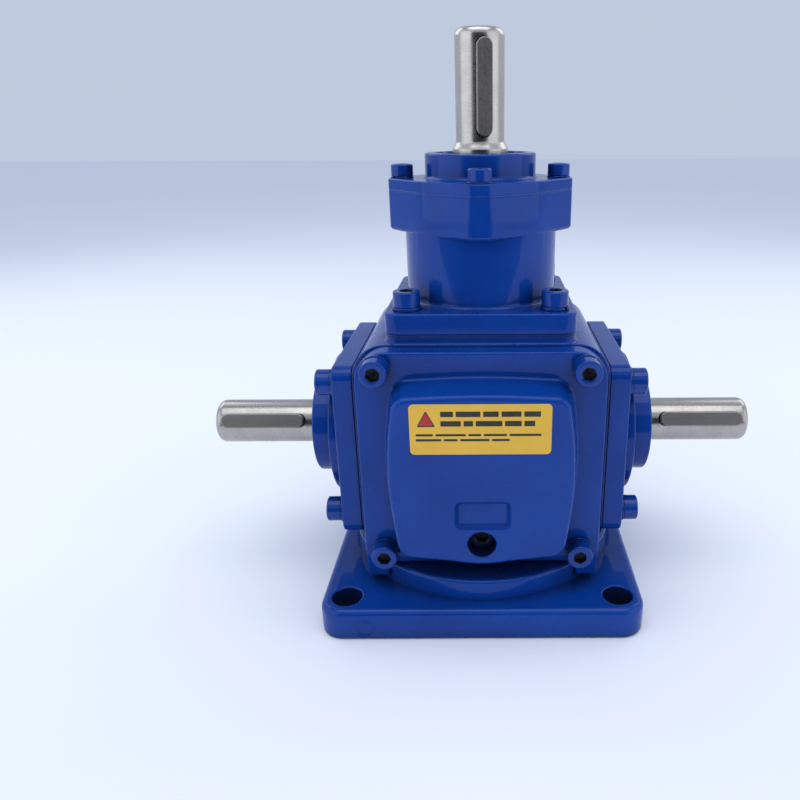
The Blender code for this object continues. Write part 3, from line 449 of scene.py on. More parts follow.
# Painted shade: darker, duller enamel for the walls of the nameplate recess.
RECESS_SHADE = paint_look("recess_painted_shade_enamel", (0.0020, 0.032, 0.205), (0.0030, 0.041, 0.250), (0.4, 0.6),
                      coat=0.03)
SOCKET = dull_look("socket_black", (0.004, 0.005, 0.009), (0.010, 0.013, 0.022), 2.0,
                   (0.40, 0.65), 0.02)
STEEL_X = steel_look("ground_steel_cross", (0.50, 0.475, 0.435), (0.20, 0.32), (0.6, 30, 30))
STEEL_Z = steel_look("ground_steel_input", (0.62, 0.585, 0.53), (0.20, 0.32), (30, 30, 0.6))
KEY = steel_look("key_steel_drawn", (0.37, 0.345, 0.315), (0.34, 0.50), (6, 6, 6), 0.02)
GEAR = steel_look("gear_steel_cut", (0.42, 0.41, 0.40), (0.26, 0.40), (4, 4, 4), 0.015)
BEARING = steel_look("bearing_steel_polished", (0.58, 0.58, 0.60), (0.12, 0.22), (9, 9, 9), 0.004)
RUBBER = dull_look("seal_rubber_black", (0.010, 0.010, 0.011), (0.022, 0.022, 0.024), 4.0,
                   (0.42, 0.62), 0.03)
GASKET = dull_look("gasket_painted", (0.002, 0.022, 0.15), (0.003, 0.034, 0.22), 5.0,
                   (0.35, 0.60), 0.08)
# The oil plugs' navy paint, darkened as painted shade deep inside their holes.
PLUG = dull_look("plug_navy_painted_shade", (0.002, 0.004, 0.030), (0.004, 0.008, 0.050), 3.0,
                 (0.40, 0.60), 0.03, Specular_IOR_Level=0.1)


# Castings -----------------------------------------------------------------------------------------

def cover_outline():
    """Outline of the front and rear covers, cut away above the pedestal between two ears."""
    return mirrored([
        (EAR_IN, COVER_BOTTOM, 0),
        (EAR_IN, EAR_BOTTOM, 0),
        (EAR_OUT, EAR_BOTTOM, 1.5),
        (EAR_OUT, 22.5, 1.2),
        (COVER_HALF, 29.0, 6.0),
        (COVER_HALF, COVER_TOP, 12.0),
    ])


def pad_outline():
    """Barrel-shaped front edge of the pad on a cover."""
    return mirrored([
        (0.0, 30.2, 40.0),
        (12.5, 32.2, 30.0),
        (32.2, 34.3, 6.5),
        (36.7, 72.0, 150.0),
        (32.0, 100.8, 5.5),
        (0.0, 102.6, 300.0),
    ])


def cavity_outline():
    """Inside of the box, with its corners cut off for the screws."""
    low, high = AXIS_Z - CAVITY, AXIS_Z + CAVITY
    return mirrored([(CAVITY_FLAT, low, 3), (CAVITY_HALF, low + CAVITY_RISE, 3),
                     (CAVITY_HALF, high - CAVITY_RISE, 3), (CAVITY_FLAT, high, 3)])


def lug_outline():
    """A circle with four lugs, whose straight sides run from their round tips to the circle."""
    tip = Vector((LUG_REACH, LUG_TIP))
    leaning = math.atan2(LUG_TIP, LUG_REACH) + math.acos(LUG_BARREL / tip.length)
    valley = LUG_BARREL / math.cos(math.radians(45) - leaning)
    corners = []
    for side in range(4):
        turn = Matrix.Rotation(math.radians(90 * side), 2)
        for x, y, radius in ((tip.x, -tip.y, LUG_ROUND), (tip.x, tip.y, LUG_ROUND),
                             (valley * math.sqrt(0.5), valley * math.sqrt(0.5), LUG_BARREL)):
            corners.append((*(turn @ Vector((x, y))), radius))
    return rounded(corners)


def square_spots(reach):
    """Four spots in a square."""
    return [(sx * reach, sy * reach) for sx in (-1, 1) for sy in (-1, 1)]


def cover_spots():
    """Screw spots of the front and rear covers, in a frame that starts at the foot."""
    across, up = COVER_BOLT
    return [(sx * across, COVER_MIDDLE + sz * up) for sx in (-1, 1) for sz in (-1, 1)]


END_SPOTS = [(-END_BOLT, 0.0), (END_BOLT, 0.0), (0.0, -END_BOLT), (0.0, END_BOLT)]


def repaint(thing, place, index, inside):
    """Give the faces whose middles are inside a space another of the piece's materials."""
    inward = place.inverted()
    for face in thing.data.polygons:
        if inside(inward @ face.center / MM):
            face.material_index = index


def in_hole(spot, holes, radius, top):
    """Whether a spot is on the wall of a hole, below its rim."""
    return 0 < spot.z < top and any((spot.xy - Vector(hole)).length < radius + 0.1
                                    for hole in holes)


def make_housing():
    """Foot, pedestal and box."""
    foot = rectangle(FOOT_HALF, FOOT_HALF, FOOT_CORNER)
    housing = slab("gearbox_housing", UPRIGHT, foot, under(0, 1.2) + rim(FOOT_THICK, 2.8))
    pedestal = turned("pedestal", UPRIGHT, about(
        PEDESTAL, [(FOOT_THICK - 1.0, 0.0)] + rim(PEDESTAL_TOP, 1.6)), 144)
    low = PEDESTAL_TOP - 0.5
    middle = (0.0, (BOX_TOP + low) / 2)
    box = slab("box", FRONT, rectangle(BOX_X, (BOX_TOP - low) / 2, BOX_CORNER, middle),
               under(-BOX_Y, 0.6) + rim(BOX_Y, 0.6))
    seat = slab("neck_seat", UPRIGHT, rectangle(SEAT_HALF, SEAT_HALF, FLANGE_CORNER),
                root(BOX_TOP, 1.4) + rim(NECK_SEAT, 0.3))
    join(housing, pedestal, box, seat)
    cavity = slab("cavity", FRONT, cavity_outline(), ((-42, 0), (42, 0)))
    bores = (turned("side_bore", RIGHT, ((REGISTER, -60), (REGISTER, 60))),
             turned("top_bore", UPRIGHT, ((REGISTER, 100), (REGISTER, 125))))
    cut(housing, cavity, *bores)
    spots = square_spots(FOOT_HOLE_PLACE)
    edge = [(FOOT_HOLE + wider, FOOT_THICK + up) for wider, up in (
        (0, -0.7), (0.06, -0.45), (0.22, -0.2), (0.45, -0.05), (0.75, 0.02), (0.75, 9))]
    tools = [drills("foot_holes", UPRIGHT, spots, [(FOOT_HOLE, -5)] + edge)]
    wide = FOOT_HALF - EAR_IN + EAR_ROOM
    for face in (FRONT, REAR):
        tools.append(drills("taps", face, cover_spots(), drill(M6_HOLE, BOX_Y - 13, BOX_Y)))
        for side in (-1, 1):
            notch = rectangle(wide / 2, 4.1, 0.5, (side * (EAR_IN - EAR_ROOM + wide / 2), 20.0))
            tools.append(slab("notch", face, notch, ((BOX_Y, 0), (FOOT_HALF + 5, 0))))
    for face, at, bolt in ((LEFT, BOX_X, SIDE_BOLT), (RIGHT, BOX_X, SIDE_BOLT),
                           (UPRIGHT, NECK_SEAT, NECK_BOLT)):
        tools.append(drills("taps", face, square_spots(bolt), drill(M6_HOLE, at - 8.0, at)))
    tools.append(turned("cast_ring", FRONT, [(r, FOOT_HALF + out) for r, out in (
        (2.7, 0.02), (3.1, -0.25), (3.5, -0.36), (3.9, -0.25), (4.3, 0.02), (4.3, 1), (2.7, 1))],
        SMALL, True, CAST_RING))
    cut(housing, *tools)
    # Painted shade on the walls of the foot holes.
    repaint(housing, UPRIGHT, 1, lambda spot: in_hole(spot, spots, FOOT_HOLE, FOOT_THICK - 0.5))
    dress(housing, [BLUE, SHADED], stands_for=("housing",))


def make_cover(name, face):
    """A plate with a raised pad, a blank nameplate recess and a boss for the oil plug."""
    plate = slab(name + "_casting", face, cover_outline(),
                 under(COVER_IN, 0.4) + rim(COVER_OUT, 0.9))
    side_top = PAD_FRONT - PAD_EDGE
    pad_side = [(side_top - (side_top - COVER_OUT) * k / 3, -PAD_DRAFT * k / 3) for k in (2, 1)]
    pad = slab(name + "_pad", face, pad_outline(),
               root(COVER_OUT, 1.3, -PAD_DRAFT - 0.05)[:-1] + pad_side + rim(PAD_FRONT, PAD_EDGE))
    join(plate, pad)
    pocket = slab(name + "_pocket", face, pad_outline(),
                  ((COVER_IN - 5, PAD_WALL - PAD_DRAFT), (PAD_FRONT - PAD_WALL, PAD_WALL)))
    cut(plate, pocket)
    boss = turned(name + "_boss", face, [(PLUG_BOSS + 0.5, PAD_FRONT - 12)] + about(
        PLUG_BOSS, rim(PAD_FRONT - 0.35, 1.6)), SMALL * 2, middle=(0.0, PLUG_Z))
    join(plate, boss)
    recess = rectangle(RECESS_WIDE, RECESS_TALL, 2.8, (RECESS_X, RECESS_Z))
    nameplate = slab(name + "_recess", face, recess, [(PAD_FRONT + out, inset) for out, inset in (
        (-RECESS_DEEP, 2.2), (-1.62, 1.75), (-1.35, 1.45), (-0.35, 0.65), (-0.1, 0.35),
        (0.02, 0.0), (1, 0.0))])
    hole = drills(name + "_plug_hole", face, [(0.0, PLUG_Z)],
                  drill(PLUG_HOLE, PAD_FRONT - 15, PAD_FRONT, 0.45), SMALL * 2)
    holes = drills(name + "_holes", face, cover_spots(),
                   drill(M6_HOLE, COVER_IN - 5, COVER_OUT, 0.3))
    cut(plate, nameplate, hole, holes)
    # Painted shade on the wall of the oil plug hole.
    repaint(plate, face, 1,
            lambda spot: in_hole(spot, [(0.0, PLUG_Z)], PLUG_HOLE, PAD_FRONT - 0.6))
    # Painted shade on the walls of the nameplate recess.
    repaint(plate, face, 2, lambda spot: (
        PAD_FRONT - RECESS_DEEP + 0.05 < spot.z < PAD_FRONT - 0.05
        and abs(spot.x - RECESS_X) < RECESS_WIDE and abs(spot.y - RECESS_Z) < RECESS_TALL))
    dress(plate, [BLUE, SHADED, RECESS_SHADE], stands_for=(name,))


def make_side_cover(name, face):
    """A square flange with a stepped boss, bored for a bearing and an oil seal."""
    cover = slab(name + "_casting", face, rectangle(FLANGE, FLANGE, FLANGE_CORNER),
                 under(SIDE_IN, 0.4) + rim(SIDE_OUT, 0.9))
    boss = turned(name + "_boss", face, (
        [(SPIGOT, 43.0), (SPIGOT, SIDE_OUT - 1.0)]
        + about(STEP_R, root(SIDE_OUT, 0.9) + rim(SIDE_STEP, 0.9))
        + about(BOSS_R, root(SIDE_STEP, 1.0)[1:] + rim(SIDE_BOSS, 0.9))))
    seal_low = SIDE_SEAL[0] - 0.15
    bore = turned(name + "_bore", face, (
        (CUP_R, 38.0), (CUP_R, CUP_TOP), (RELIEF_R, CUP_TOP), (RELIEF_R, seal_low),
        (SEAL_R, seal_low), (SEAL_R, SIDE_BOSS - 0.7), (SEAL_R + 0.7, SIDE_BOSS),
        (SEAL_R + 0.7, 80.0)))
    holes = drills(name + "_holes", face, square_spots(SIDE_BOLT),
                   drill(M6_HOLE, 45, SIDE_OUT, 0.3))
    join(cover, boss)
    cut(cover, bore, holes)
    dress(cover, BLUE, stands_for=(name,))


def make_neck():
    """Input bearing housing: square flange, cylinder and four lugs around its top."""
    neck = slab("neck_casting", UPRIGHT, rectangle(FLANGE, FLANGE, FLANGE_CORNER),
                under(NECK_BOTTOM, 0.4) + rim(NECK_FLANGE, 1.0))
    barrel = turned("barrel", UPRIGHT, (
        [(SPIGOT, 110.5), (SPIGOT, NECK_FLANGE - 1.0)]
        + about(STEP_R, root(NECK_FLANGE, 1.8) + [(NECK_TOP - 0.4, 0.0), (NECK_TOP, 0.2)])))
    lugs = slab("lugs", UPRIGHT, lug_outline(), under(LUG_BOTTOM, 1.6) + [
        (LUG_BOTTOM + 8.0, 0), (NECK_TOP - 0.12, 0), (NECK_TOP, 0.1)])
    join(neck, barrel, lugs)
    bore = turned("neck_bore", UPRIGHT, ((NECK_LOW_R, 105.0), (NECK_LOW_R, NECK_STEP),
                                         (NECK_CUP_R, NECK_STEP), (NECK_CUP_R, 175.0)))
    holes = drills("neck_holes", UPRIGHT, square_spots(NECK_BOLT),
                   drill(M6_HOLE, 112, NECK_FLANGE, 0.3))
    taps = drills("lug_taps", UPRIGHT, END_SPOTS, drill(M5_HOLE, NECK_TOP - 8.4, NECK_TOP, 0.3))
    cut(neck, bore, holes, taps)
    dress(neck, BLUE, stands_for=("input_neck",))


def make_end_cover():
    """Lobed cover over the input bearings, with a boss for the oil seal."""
    cover = slab("end_cover_casting", UPRIGHT, lug_outline(),
                 [(END_BOTTOM, 0.06), (END_BOTTOM + 0.08, 0)] + rim(END_PLATE, 0.8))
    boss = turned("end_boss", UPRIGHT, (
        [(END_SPIGOT, 167.3), (END_SPIGOT, END_BOTTOM + 1.0)]
        + about(BOSS_R, root(END_PLATE, 1.6) + rim(END_BOSS, 0.9))))
    seal_low = INPUT_SEAL[0] - 0.3
    bore = turned("end_bore", UPRIGHT, (
        (RELIEF_R, 160.0), (RELIEF_R, seal_low), (SEAL_R, seal_low), (SEAL_R, END_BOSS - 0.7),
        (SEAL_R + 0.7, END_BOSS), (SEAL_R + 0.7, 190.0)))
    holes = drills("end_holes", UPRIGHT, END_SPOTS, drill(M5_HOLE, 162, END_PLATE, 0.3))
    join(cover, boss)
    cut(cover, bore, holes)
    dress(cover, BLUE, stands_for=("input_end_cover",))


def make_gaskets():
    """The thin gaskets, painted over at their edges."""
    for name, face in (("front_cover", FRONT), ("rear_cover", REAR)):
        gasket = slab(name + "_seam", face, shrunk(cover_outline(), 0.15),
                      ((BOX_Y + 0.04, 0.1), (BOX_Y + 0.14, 0), (COVER_IN - 0.14, 0),
                       (COVER_IN - 0.04, 0.1)))
        opening = slab("opening", face, cavity_outline(), ((30, 0.3), (45, 0.3)))
        holes = drills("holes", face, cover_spots(), ((M6_HOLE, 30), (M6_HOLE, 45)))
        dress(cut(gasket, opening, holes), GASKET, stands_for=(name + "_gasket",))
    for name, face, low, high, bolt in (("left_cover", LEFT, BOX_X, SIDE_IN, SIDE_BOLT),
                                        ("right_cover", RIGHT, BOX_X, SIDE_IN, SIDE_BOLT),
                                        ("neck", UPRIGHT, NECK_SEAT, NECK_BOTTOM, NECK_BOLT)):
        gasket = slab(name + "_seam", face, rectangle(SEAT_HALF, SEAT_HALF, FLANGE_CORNER),
                      ((low + 0.04, 0.1), (low + 0.14, 0), (high - 0.14, 0), (high - 0.04, 0.1)))
        opening = turned("opening", face, ((REGISTER + 0.2, low - 5), (REGISTER + 0.2, high + 5)))
        holes = drills("holes", face, square_spots(bolt), ((M6_HOLE, low - 5), (M6_HOLE, high + 5)))
        dress(cut(gasket, opening, holes), GASKET, stands_for=(name + "_gasket",))
    gasket = slab("end_cover_seam", UPRIGHT, lug_outline(), (
        (NECK_TOP + 0.02, 0.06), (NECK_TOP + 0.10, 0.0), (END_BOTTOM - 0.10, 0.0),
        (END_BOTTOM - 0.02, 0.06)))
    opening = turned("opening", UPRIGHT, ((26.3, 160), (26.3, 175)))
    holes = drills("holes", UPRIGHT, END_SPOTS, ((M5_HOLE, 160), (M5_HOLE, 175)))
    dress(cut(gasket, opening, holes), SEAM_BLUE, stands_for=("end_cover_gasket",))


# Fasteners ----------------------------------------------------------------------------------------

def hexagon(radius):
    """A hexagon with as many points as the circle it joins."""
    points = []
    for side in range(TURNED):
        angle = 2 * math.pi * side / TURNED
        within = (angle + math.pi / 6) % (math.pi / 3) - math.pi / 6
        reach = radius * math.cos(math.pi / 6) / math.cos(within)
        points.append(Vector((reach * math.cos(angle + math.pi / 6),
                              reach * math.sin(angle + math.pi / 6))))
    return points


def screw_mesh(name, shank, head, top, socket, deep, washer, thick, reach):
    """A painted socket cap screw on a split spring washer, its seat on the XY plane."""
    builder = bmesh.new()
    turns = [(shank - 0.5, -reach), (shank, 0.5 - reach), (shank, thick), (head - 0.25, thick),
             (head, thick + 0.25)] + about(head, rim(top, 0.75)) + [(socket + 0.25, top)]
    rings = [lifted(circle(r, TURNED), h) for r, h in turns]
    rings += [lifted(hexagon(socket), top - 0.22), lifted(hexagon(socket - 0.05), top - deep),
              lifted(circle(0.3, TURNED), top - deep - 0.9)]
    skin(builder, rings)
    for face in builder.faces:
        middle = face.calc_center_median()
        inside = middle.xy.length < socket + 0.05 and top - deep - 2 < middle.z < top - 0.3
        face.material_index = 1 if inside else 0
    split = math.radians(7)  # half of the washer's gap
    steps = 60
    section = ((shank + 0.3, 0.02), (washer - 0.15, 0.02), (washer, 0.2), (washer, thick - 0.2),
               (washer - 0.15, thick - 0.02), (shank + 0.3, thick - 0.02))
    slices = []
    for step in range(steps + 1):
        angle = split + (2 * math.pi - 2 * split) * step / steps
        slices.append([builder.verts.new((r * math.cos(angle), r * math.sin(angle), h))
                       for r, h in section])
    for before, after in zip(slices, slices[1:]):
        for i in range(len(section)):
            j = (i + 1) % len(section)
            builder.faces.new((before[i], before[j], after[j], after[i]))
    builder.faces.new(slices[0])
    builder.faces.new(list(reversed(slices[-1])))
    thing = make(name, builder)
    mesh = thing.data
    bpy.data.objects.remove(thing)
    mesh.materials.append(SCREW_BLUE)
    mesh.materials.append(SOCKET)
    return mesh


def corner_name(x, y, vertical):
    """Words for a spot in a square pattern, seen from outside."""
    across = "left" if x < 0 else "right"
    along = ("lower", "upper") if vertical else ("front", "rear")
    return (along[0] if y < 0 else along[1]) + "_" + across


def make_screws():
    """Every cap screw, each at an angle of its own so that no two washers match."""
    long = screw_mesh("m6_screw", shank=3.0, head=5.2, top=7.3, socket=2.9, deep=3.2,
                      washer=5.6, thick=1.3, reach=16.4)
    short = screw_mesh("m5_screw", shank=2.5, head=4.4, top=5.2, socket=2.35, deep=2.7,
                       washer=4.6, thick=0.5, reach=11.4)
    places = []
    for label, face in (("front_cover", FRONT), ("rear_cover", REAR)):
        places += [(f"{label}_screw_{corner_name(x, z - COVER_MIDDLE, True)}", face, x, z,
                    COVER_OUT, long)
                   for x, z in cover_spots()]
    for label, face, seat, bolt, vertical in (("left_cover", LEFT, SIDE_OUT, SIDE_BOLT, True),
                                              ("right_cover", RIGHT, SIDE_OUT, SIDE_BOLT, True),
                                              ("neck", UPRIGHT, NECK_FLANGE, NECK_BOLT, False)):
        places += [(f"{label}_screw_{corner_name(x, y, vertical)}", face, x, y, seat, long)
                   for x, y in square_spots(bolt)]
    places += [(f"end_cover_screw_{side}", UPRIGHT, x, y, END_PLATE, short)
               for side, (x, y) in zip(("left", "right", "front", "rear"), END_SPOTS)]
    for index, (node, face, x, y, seat, mesh) in enumerate(places):
        screw = bpy.data.objects.new("painted_" + node, mesh)
        bpy.context.scene.collection.objects.link(screw)
        screw.matrix_world = (face @ Matrix.Translation(Vector((x, y, seat)) * MM)
                              @ Matrix.Rotation(math.radians(137.5 * index), 4, "Z"))
        dress(screw, SCREW_BLUE, stands_for=(node,), sharp=40)


def make_oil_plug(name, face):
    """A headless socket plug sunk into the boss of a cover."""
    top = PAD_FRONT - PLUG_SUNK
    builder = bmesh.new()
    middle = Vector((0, PLUG_Z))
    rings = [lifted(circle(r, TURNED), top + h) for r, h in (
        (4.6, -6.0), (5.0, -5.6), (5.0, -0.4), (4.6, 0.0), (3.5, 0.0), (3.1, -0.35))]
    rings += [lifted(hexagon(PLUG_SOCKET), top + h) for h in (-0.5, -3.5)]
    rings.append(lifted(circle(0.4, TURNED), top - 4.5))
    skin(builder, [[p + middle.to_3d() for p in ring] for ring in rings])
    for side in builder.faces:
        centre = side.calc_center_median()
        if (centre.xy - middle).length < PLUG_SOCKET and top - 5 < centre.z < top - 0.1:
            side.material_index = 1
    dress(make("sunk_" + name, builder, face), [PLUG, SOCKET], stands_for=(name,))


# Shafts, keys and seals ---------------------------------------------------------------------------

def key_frame(shaft_frame, angle, along):
    """A frame on a shaft's axis whose Z points out at the key and whose Y runs along the shaft."""
    turn = Matrix.Rotation(angle, 4, "Z") @ Matrix.Rotation(math.radians(90), 4, "Y")
    turn = turn @ Matrix.Rotation(math.radians(-90), 4, "Z")
    return shaft_frame @ Matrix.Translation((0, 0, along * MM)) @ turn


def keyway(place, length, depth):
    """Cutting tool for a keyway."""
    half = KEY_WIDE / 2 + KEY_FIT
    return slab("keyway", place, rectangle(half, length / 2 + KEY_FIT, half - 0.001),
                ((depth - KEY_FIT, 0), (30.0, 0)))


def make_key(name, node, place, length, body):
    """A parallel key with round ends and broken edges, at the end of a shaft."""
    top = SHAFT_R + KEY_PROUD
    low = top - KEY_TALL
    key = slab(name, place, rectangle(KEY_WIDE / 2, length / 2, KEY_WIDE / 2 - 0.001),
               [(low, 0.3), (low + 0.3, 0)] + rim(top, 0.45))
    dress(key, KEY, body, (node,))


def centre_hole(place, tip, sign):
    """A centre drilling in the end of a shaft."""
    return turned("centre", place, [(r, tip - sign * d) for r, d in (
        (0.9, 6.5), (1.0, 3.4), (2.9, 0.25), (3.3, 0.0), (3.3, -2.0))], SMALL)


def shaft_end(tip):
    """The rounded end of a shaft, from its side to its flat face."""
    turns = [math.radians(15 * step) for step in range(7)]
    return about(SHAFT_R, [(tip - END_LONG * (1 - math.sin(turn)), END_DEEP * (1 - math.cos(turn)))
                           for turn in turns])


def make_cross_shaft():
    """The through shaft with its keys."""
    body = "cross_shaft_body"
    tip = shaft_end(SHAFT_TIP)
    right = [(13.0, 12.0), (14.5, 12.0), (14.5, 25.7), (11.0, 25.7), (11.0, 45.7),
             (SEAT_R, 45.7), (SEAT_R, 73.4), (SHAFT_R, 73.9)] + tip
    left = [(r, -h) for r, h in reversed(tip)] + [
        (SHAFT_R, -73.9), (SEAT_R, -73.4), (SEAT_R, -45.85), (13.0, -45.85)]
    shaft = turned("ground_cross_shaft", CROSS, left + right)
    outer = [key_frame(CROSS, math.radians(SIDE_KEY_TURN), side * SIDE_KEY_PLACE)
             for side in (-1, 1)]
    inner = key_frame(CROSS, 0.0, GEAR_KEY_PLACE)
    cut(shaft, *(keyway(place, SIDE_KEY + KEYWAY_MORE, KEY_BED) for place in outer),
        keyway(inner, GEAR_KEYWAY, GEAR_KEY_BED), centre_hole(CROSS, -SHAFT_TIP, -1),
        centre_hole(CROSS, SHAFT_TIP, 1))
    dress(shaft, STEEL_X, body, ("cross_shaft",))
    for side, place in zip(("left", "right"), outer):
        make_key(side + "_round_key", side + "_shaft_key", place, SIDE_KEY, body)


def make_input_shaft():
    """The upright shaft with its outer key."""
    body = "input_shaft_body"
    shaft = turned("ground_input_shaft", UPRIGHT, [
        (10.0, 84.0), (11.0, 85.0), (11.0, 88.6), (10.0, 88.6), (10.0, 90.4), (11.0, 90.4),
        (11.0, 114.9), (12.5, 114.9), (12.5, 138.3), (17.0, 138.3), (17.0, 150.7), (12.5, 150.7),
        (12.5, 168.5), (INPUT_SEAT_R, 169.5), (INPUT_SEAT_R, 183.4), (10.85, 183.9),
        (10.3, 184.9), (9.75, 185.9), (SHAFT_R, 186.8)] + shaft_end(INPUT_TIP))
    outer = key_frame(UPRIGHT, math.radians(INPUT_KEY_TURN), INPUT_KEY_PLACE)
    inner = key_frame(UPRIGHT, math.radians(180), AXIS_Z + GEAR_KEY_PLACE)
    cut(shaft, keyway(outer, INPUT_KEY + KEYWAY_MORE, KEY_BED),
        keyway(inner, GEAR_KEYWAY, GEAR_KEY_BED), centre_hole(UPRIGHT, INPUT_TIP, 1))
    dress(shaft, STEEL_Z, body, ("input_shaft",))
    make_key("input_round_key", "input_shaft_key", outer, INPUT_KEY, body)


def make_seal(side, face, low, high, shaft):
    """A radial oil seal: a rubber-covered case, a hollow and a sprung lip on the shaft."""
    seal = turned(side + "_seal_ring", face, (
        (shaft + 0.3, low + 2.0), (shaft + 2.6, low), (17.5, low), (17.5, high - 0.4),
        (17.1, high), (15.6, high), (15.2, high - 0.4), (14.9, high - 1.6), (13.4, high - 1.9),
        (shaft + 2.2, high - 1.2), (shaft + 1.2, high - 0.5), (shaft + 0.45, high - 0.9),
        (shaft + 0.3, high - 2.0)), closed=True)
    dress(seal, RUBBER, stands_for=(side + "_oil_seal",))


# Label --------------------------------------------------------------------------------------------

def make_label():
    """A plain yellow label with a red triangle and rows of dark bars, without any lettering."""
    yellow = dull_look("label_vinyl", (0.76, 0.44, 0.021), (0.82, 0.49, 0.032), 18.0,
                       (0.30, 0.42), 0.01, Coat_Weight=0.3, Coat_Roughness=0.2)
    ink = dull_look("label_ink", (0.018, 0.016, 0.014), (0.035, 0.030, 0.022), 2.0,
                    (0.35, 0.5), 0.005)
    red = dull_look("label_red", (0.42, 0.018, 0.014), (0.52, 0.030, 0.022), 3.0,
                    (0.35, 0.5), 0.005)
    (left, right), (low, high) = LABEL_X, LABEL_Z
    middle = ((left + right) / 2, (low + high) / 2)
    printed = PAD_FRONT + LABEL_THICK
    sheet = slab("yellow_label", FRONT,
                 rectangle((right - left) / 2, (high - low) / 2, 1.7, middle),
                 ((PAD_FRONT + 0.01, 0), (printed - 0.04, 0), (printed, 0.05)))
    dress(sheet, yellow)
    for name, look, half, bottom, tall, radius, proud in (
            ("label_mark_edge", ink, 3.4, 90.2, 6.4, 0.35, 0.03),
            ("label_mark", red, 2.8, 90.6, 5.35, 0.25, 0.05)):
        outline = rounded([(MARK_X + half, bottom, radius), (MARK_X, bottom + tall, radius),
                           (MARK_X - half, bottom, radius)])
        dress(slab(name, FRONT, outline, ((printed + proud - 0.02, 0), (printed + proud, 0))), look)
    builder = bmesh.new()
    for base, tall, across, widths in (  # each row's lower edge, height, left end and bars
            (94.1, 2.1, -14.7, (4.6, 8.9, 5.6, 7.2, 6.0)),
            (90.4, 2.1, -14.7, (7.4, 3.4, 9.6, 6.0, 3.9)),
            (86.5, 0.9, -23.8, (6.2, 11.0, 4.6, 8.4, 11.6)),
            (84.5, 0.9, -23.8, (9.2, 5.0, 10.6, 6.4))):
        for wide in widths:
            bar = rectangle(wide / 2, tall / 2, 0.2, (across + wide / 2, base + tall / 2))
            skin(builder, [lifted(bar, printed), lifted(bar, printed + 0.03)])
            across += wide + 1.0
    dress(make("label_bars", builder, FRONT), ink)


# Studio -------------------------------------------------------------------------------------------

CAMERA_PLACE = (1.959, -292.819, 192.684)
CAMERA_DOWN, CAMERA_ROLL = 20.686, -0.269  # degrees
CAMERA_LENS, CAMERA_SENSOR = 31.597, 36.0
CAMERA_SHIFT = (-0.107865, -0.013084)


def make_camera():
    """The camera at the photograph's viewing angle."""
    pitch, roll = math.radians(CAMERA_DOWN), math.radians(CAMERA_ROLL)
    right, up = Vector((1, 0, 0)), Vector((0, math.sin(pitch), math.cos(pitch)))
    ahead = Vector((0, math.cos(pitch), -math.sin(pitch)))
    across = right * math.cos(roll) + up * math.sin(roll)
    above = up * math.cos(roll) - right * math.sin(roll)
    camera = bpy.data.objects.new("camera", bpy.data.cameras.new("camera"))
    bpy.context.scene.collection.objects.link(camera)
    place = Matrix((across, above, -ahead)).transposed().to_4x4()
    place.translation = Vector(CAMERA_PLACE) * MM
    camera.matrix_world = place
    camera.data.sensor_width = CAMERA_SENSOR
    camera.data.lens = CAMERA_LENS
    camera.data.shift_x, camera.data.shift_y = CAMERA_SHIFT
    camera.data.clip_start = 0.01
    bpy.context.scene.camera = camera


def softbox(name, place, target, size, power):
    """An area light that faces a target."""
    lamp = bpy.data.lights.new(name, "AREA")
    lamp.shape = "RECTANGLE"
    lamp.size, lamp.size_y = size
    lamp.energy = power
    thing = bpy.data.objects.new(name, lamp)
    bpy.context.scene.collection.objects.link(thing)
    thing.location = place
    thing.rotation_mode = "QUATERNION"
    thing.rotation_quaternion = (Vector(target) - Vector(place)).to_track_quat("-Z", "Y")
    thing.visible_camera = False


def sheet_of(name, half):
    """A flat square sheet on the XY plane."""
    builder = bmesh.new()
    bmesh.ops.create_grid(builder, x_segments=1, y_segments=1, size=half)
    return make(name, builder)


def flag(name, place, target, size):
    """A dark card that only reflections can see."""
    card = sheet_of(name, 500)
    card.scale = (size[0], size[1], 1.0)
    card.location = place
    card.rotation_mode = "QUATERNION"
    card.rotation_quaternion = (Vector(target) - Vector(place)).to_track_quat("Z", "Y")
    look = Look(name + "_card", Specular_IOR_Level=0.1)
    look.set("Base Color", look.blend(look.noise(200.0), (0.02, 0.02, 0.02), (0.03, 0.03, 0.03)))
    card.data.materials.append(look.material)
    card.visible_camera = card.visible_diffuse = card.visible_shadow = False


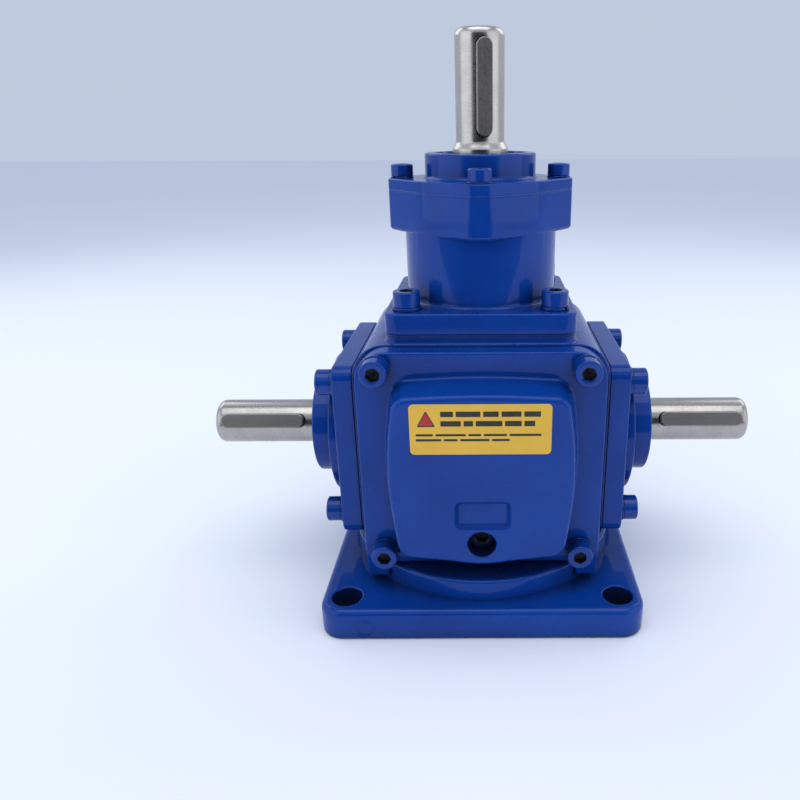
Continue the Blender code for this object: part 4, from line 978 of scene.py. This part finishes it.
def make_studio():
    """Pale floor and surroundings, three large softboxes, two small ones behind, and dark cards."""
    scene = bpy.context.scene
    scene.view_settings.view_transform = "Standard"
    world = bpy.data.worlds.new("studio")
    world.use_nodes = True
    background = world.node_tree.nodes["Background"]
    background.inputs["Color"].default_value = (0.72, 0.81, 1.0, 1.0)
    background.inputs["Strength"].default_value = 0.73
    scene.world = world
    floor = sheet_of("floor", 4000)
    look = Look("pale_floor", Specular_IOR_Level=0.0)
    look.set("Base Color", look.blend(look.noise(300.0, 2.0), (0.89, 0.912, 0.96),
                                      (0.905, 0.927, 0.975)))
    look.set("Roughness", look.spread(look.noise(60.0, 3.0), 0.3, 0.7, 0.50, 0.60))
    floor.data.materials.append(look.material)
    middle = (0.0, 0.0, 0.10)
    softbox("left_softbox", (-0.85, -0.36, 0.38), middle, (1.0, 0.75), 1.45)
    softbox("right_softbox", (0.85, -0.36, 0.38), middle, (1.0, 0.75), 1.35)
    softbox("top_softbox", (0.0, -0.16, 1.02), middle, (1.0, 0.72), 3.5)
    for side, name in ((-1, "left_rim_softbox"), (1, "right_rim_softbox")):
        softbox(name, (side * 0.62, 0.50, 0.62), middle, (0.5, 0.5), 1.0)
    flag("camera_wall", (0.0, -1.5, 0.35), (0, 0, 0.2), (2.1, 1.1))
    flag("table_edge", (0.0, -1.3, 0.002), (0.0, -1.3, 1.0), (2.4, 1.7))
    flag("top_edge", (0.0, 0.16, 1.05), middle, (1.4, 0.14))


# --------------------------------------------------------------------------------------------------

make_camera()
make_housing()
make_cover("front_cover", FRONT)
make_cover("rear_cover", REAR)
make_side_cover("left_cover", LEFT)
make_side_cover("right_cover", RIGHT)
make_neck()
make_end_cover()
make_gaskets()
make_screws()
make_oil_plug("front_oil_plug", FRONT)
make_oil_plug("rear_oil_plug", REAR)
make_cross_shaft()
make_input_shaft()
make_seal("left", LEFT, *SIDE_SEAL)
make_seal("right", RIGHT, *SIDE_SEAL)
make_seal("input", UPRIGHT, *INPUT_SEAL)
make_label()

# The parts inside the box keep their CAD shapes and only get their materials.
inner_looks = {"crown_gear": GEAR, "input_pinion": GEAR, "crown_gear_key": KEY,
               "pinion_key": KEY, "pinion_retaining_ring": BEARING}
for bearing in ("left", "right", "upper", "lower"):
    for ring in ("cup", "cone"):
        inner_looks[f"{bearing}_bearing_{ring}"] = BEARING
for node, look in inner_looks.items():
    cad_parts[node].material_slots[0].material = look

make_studio()
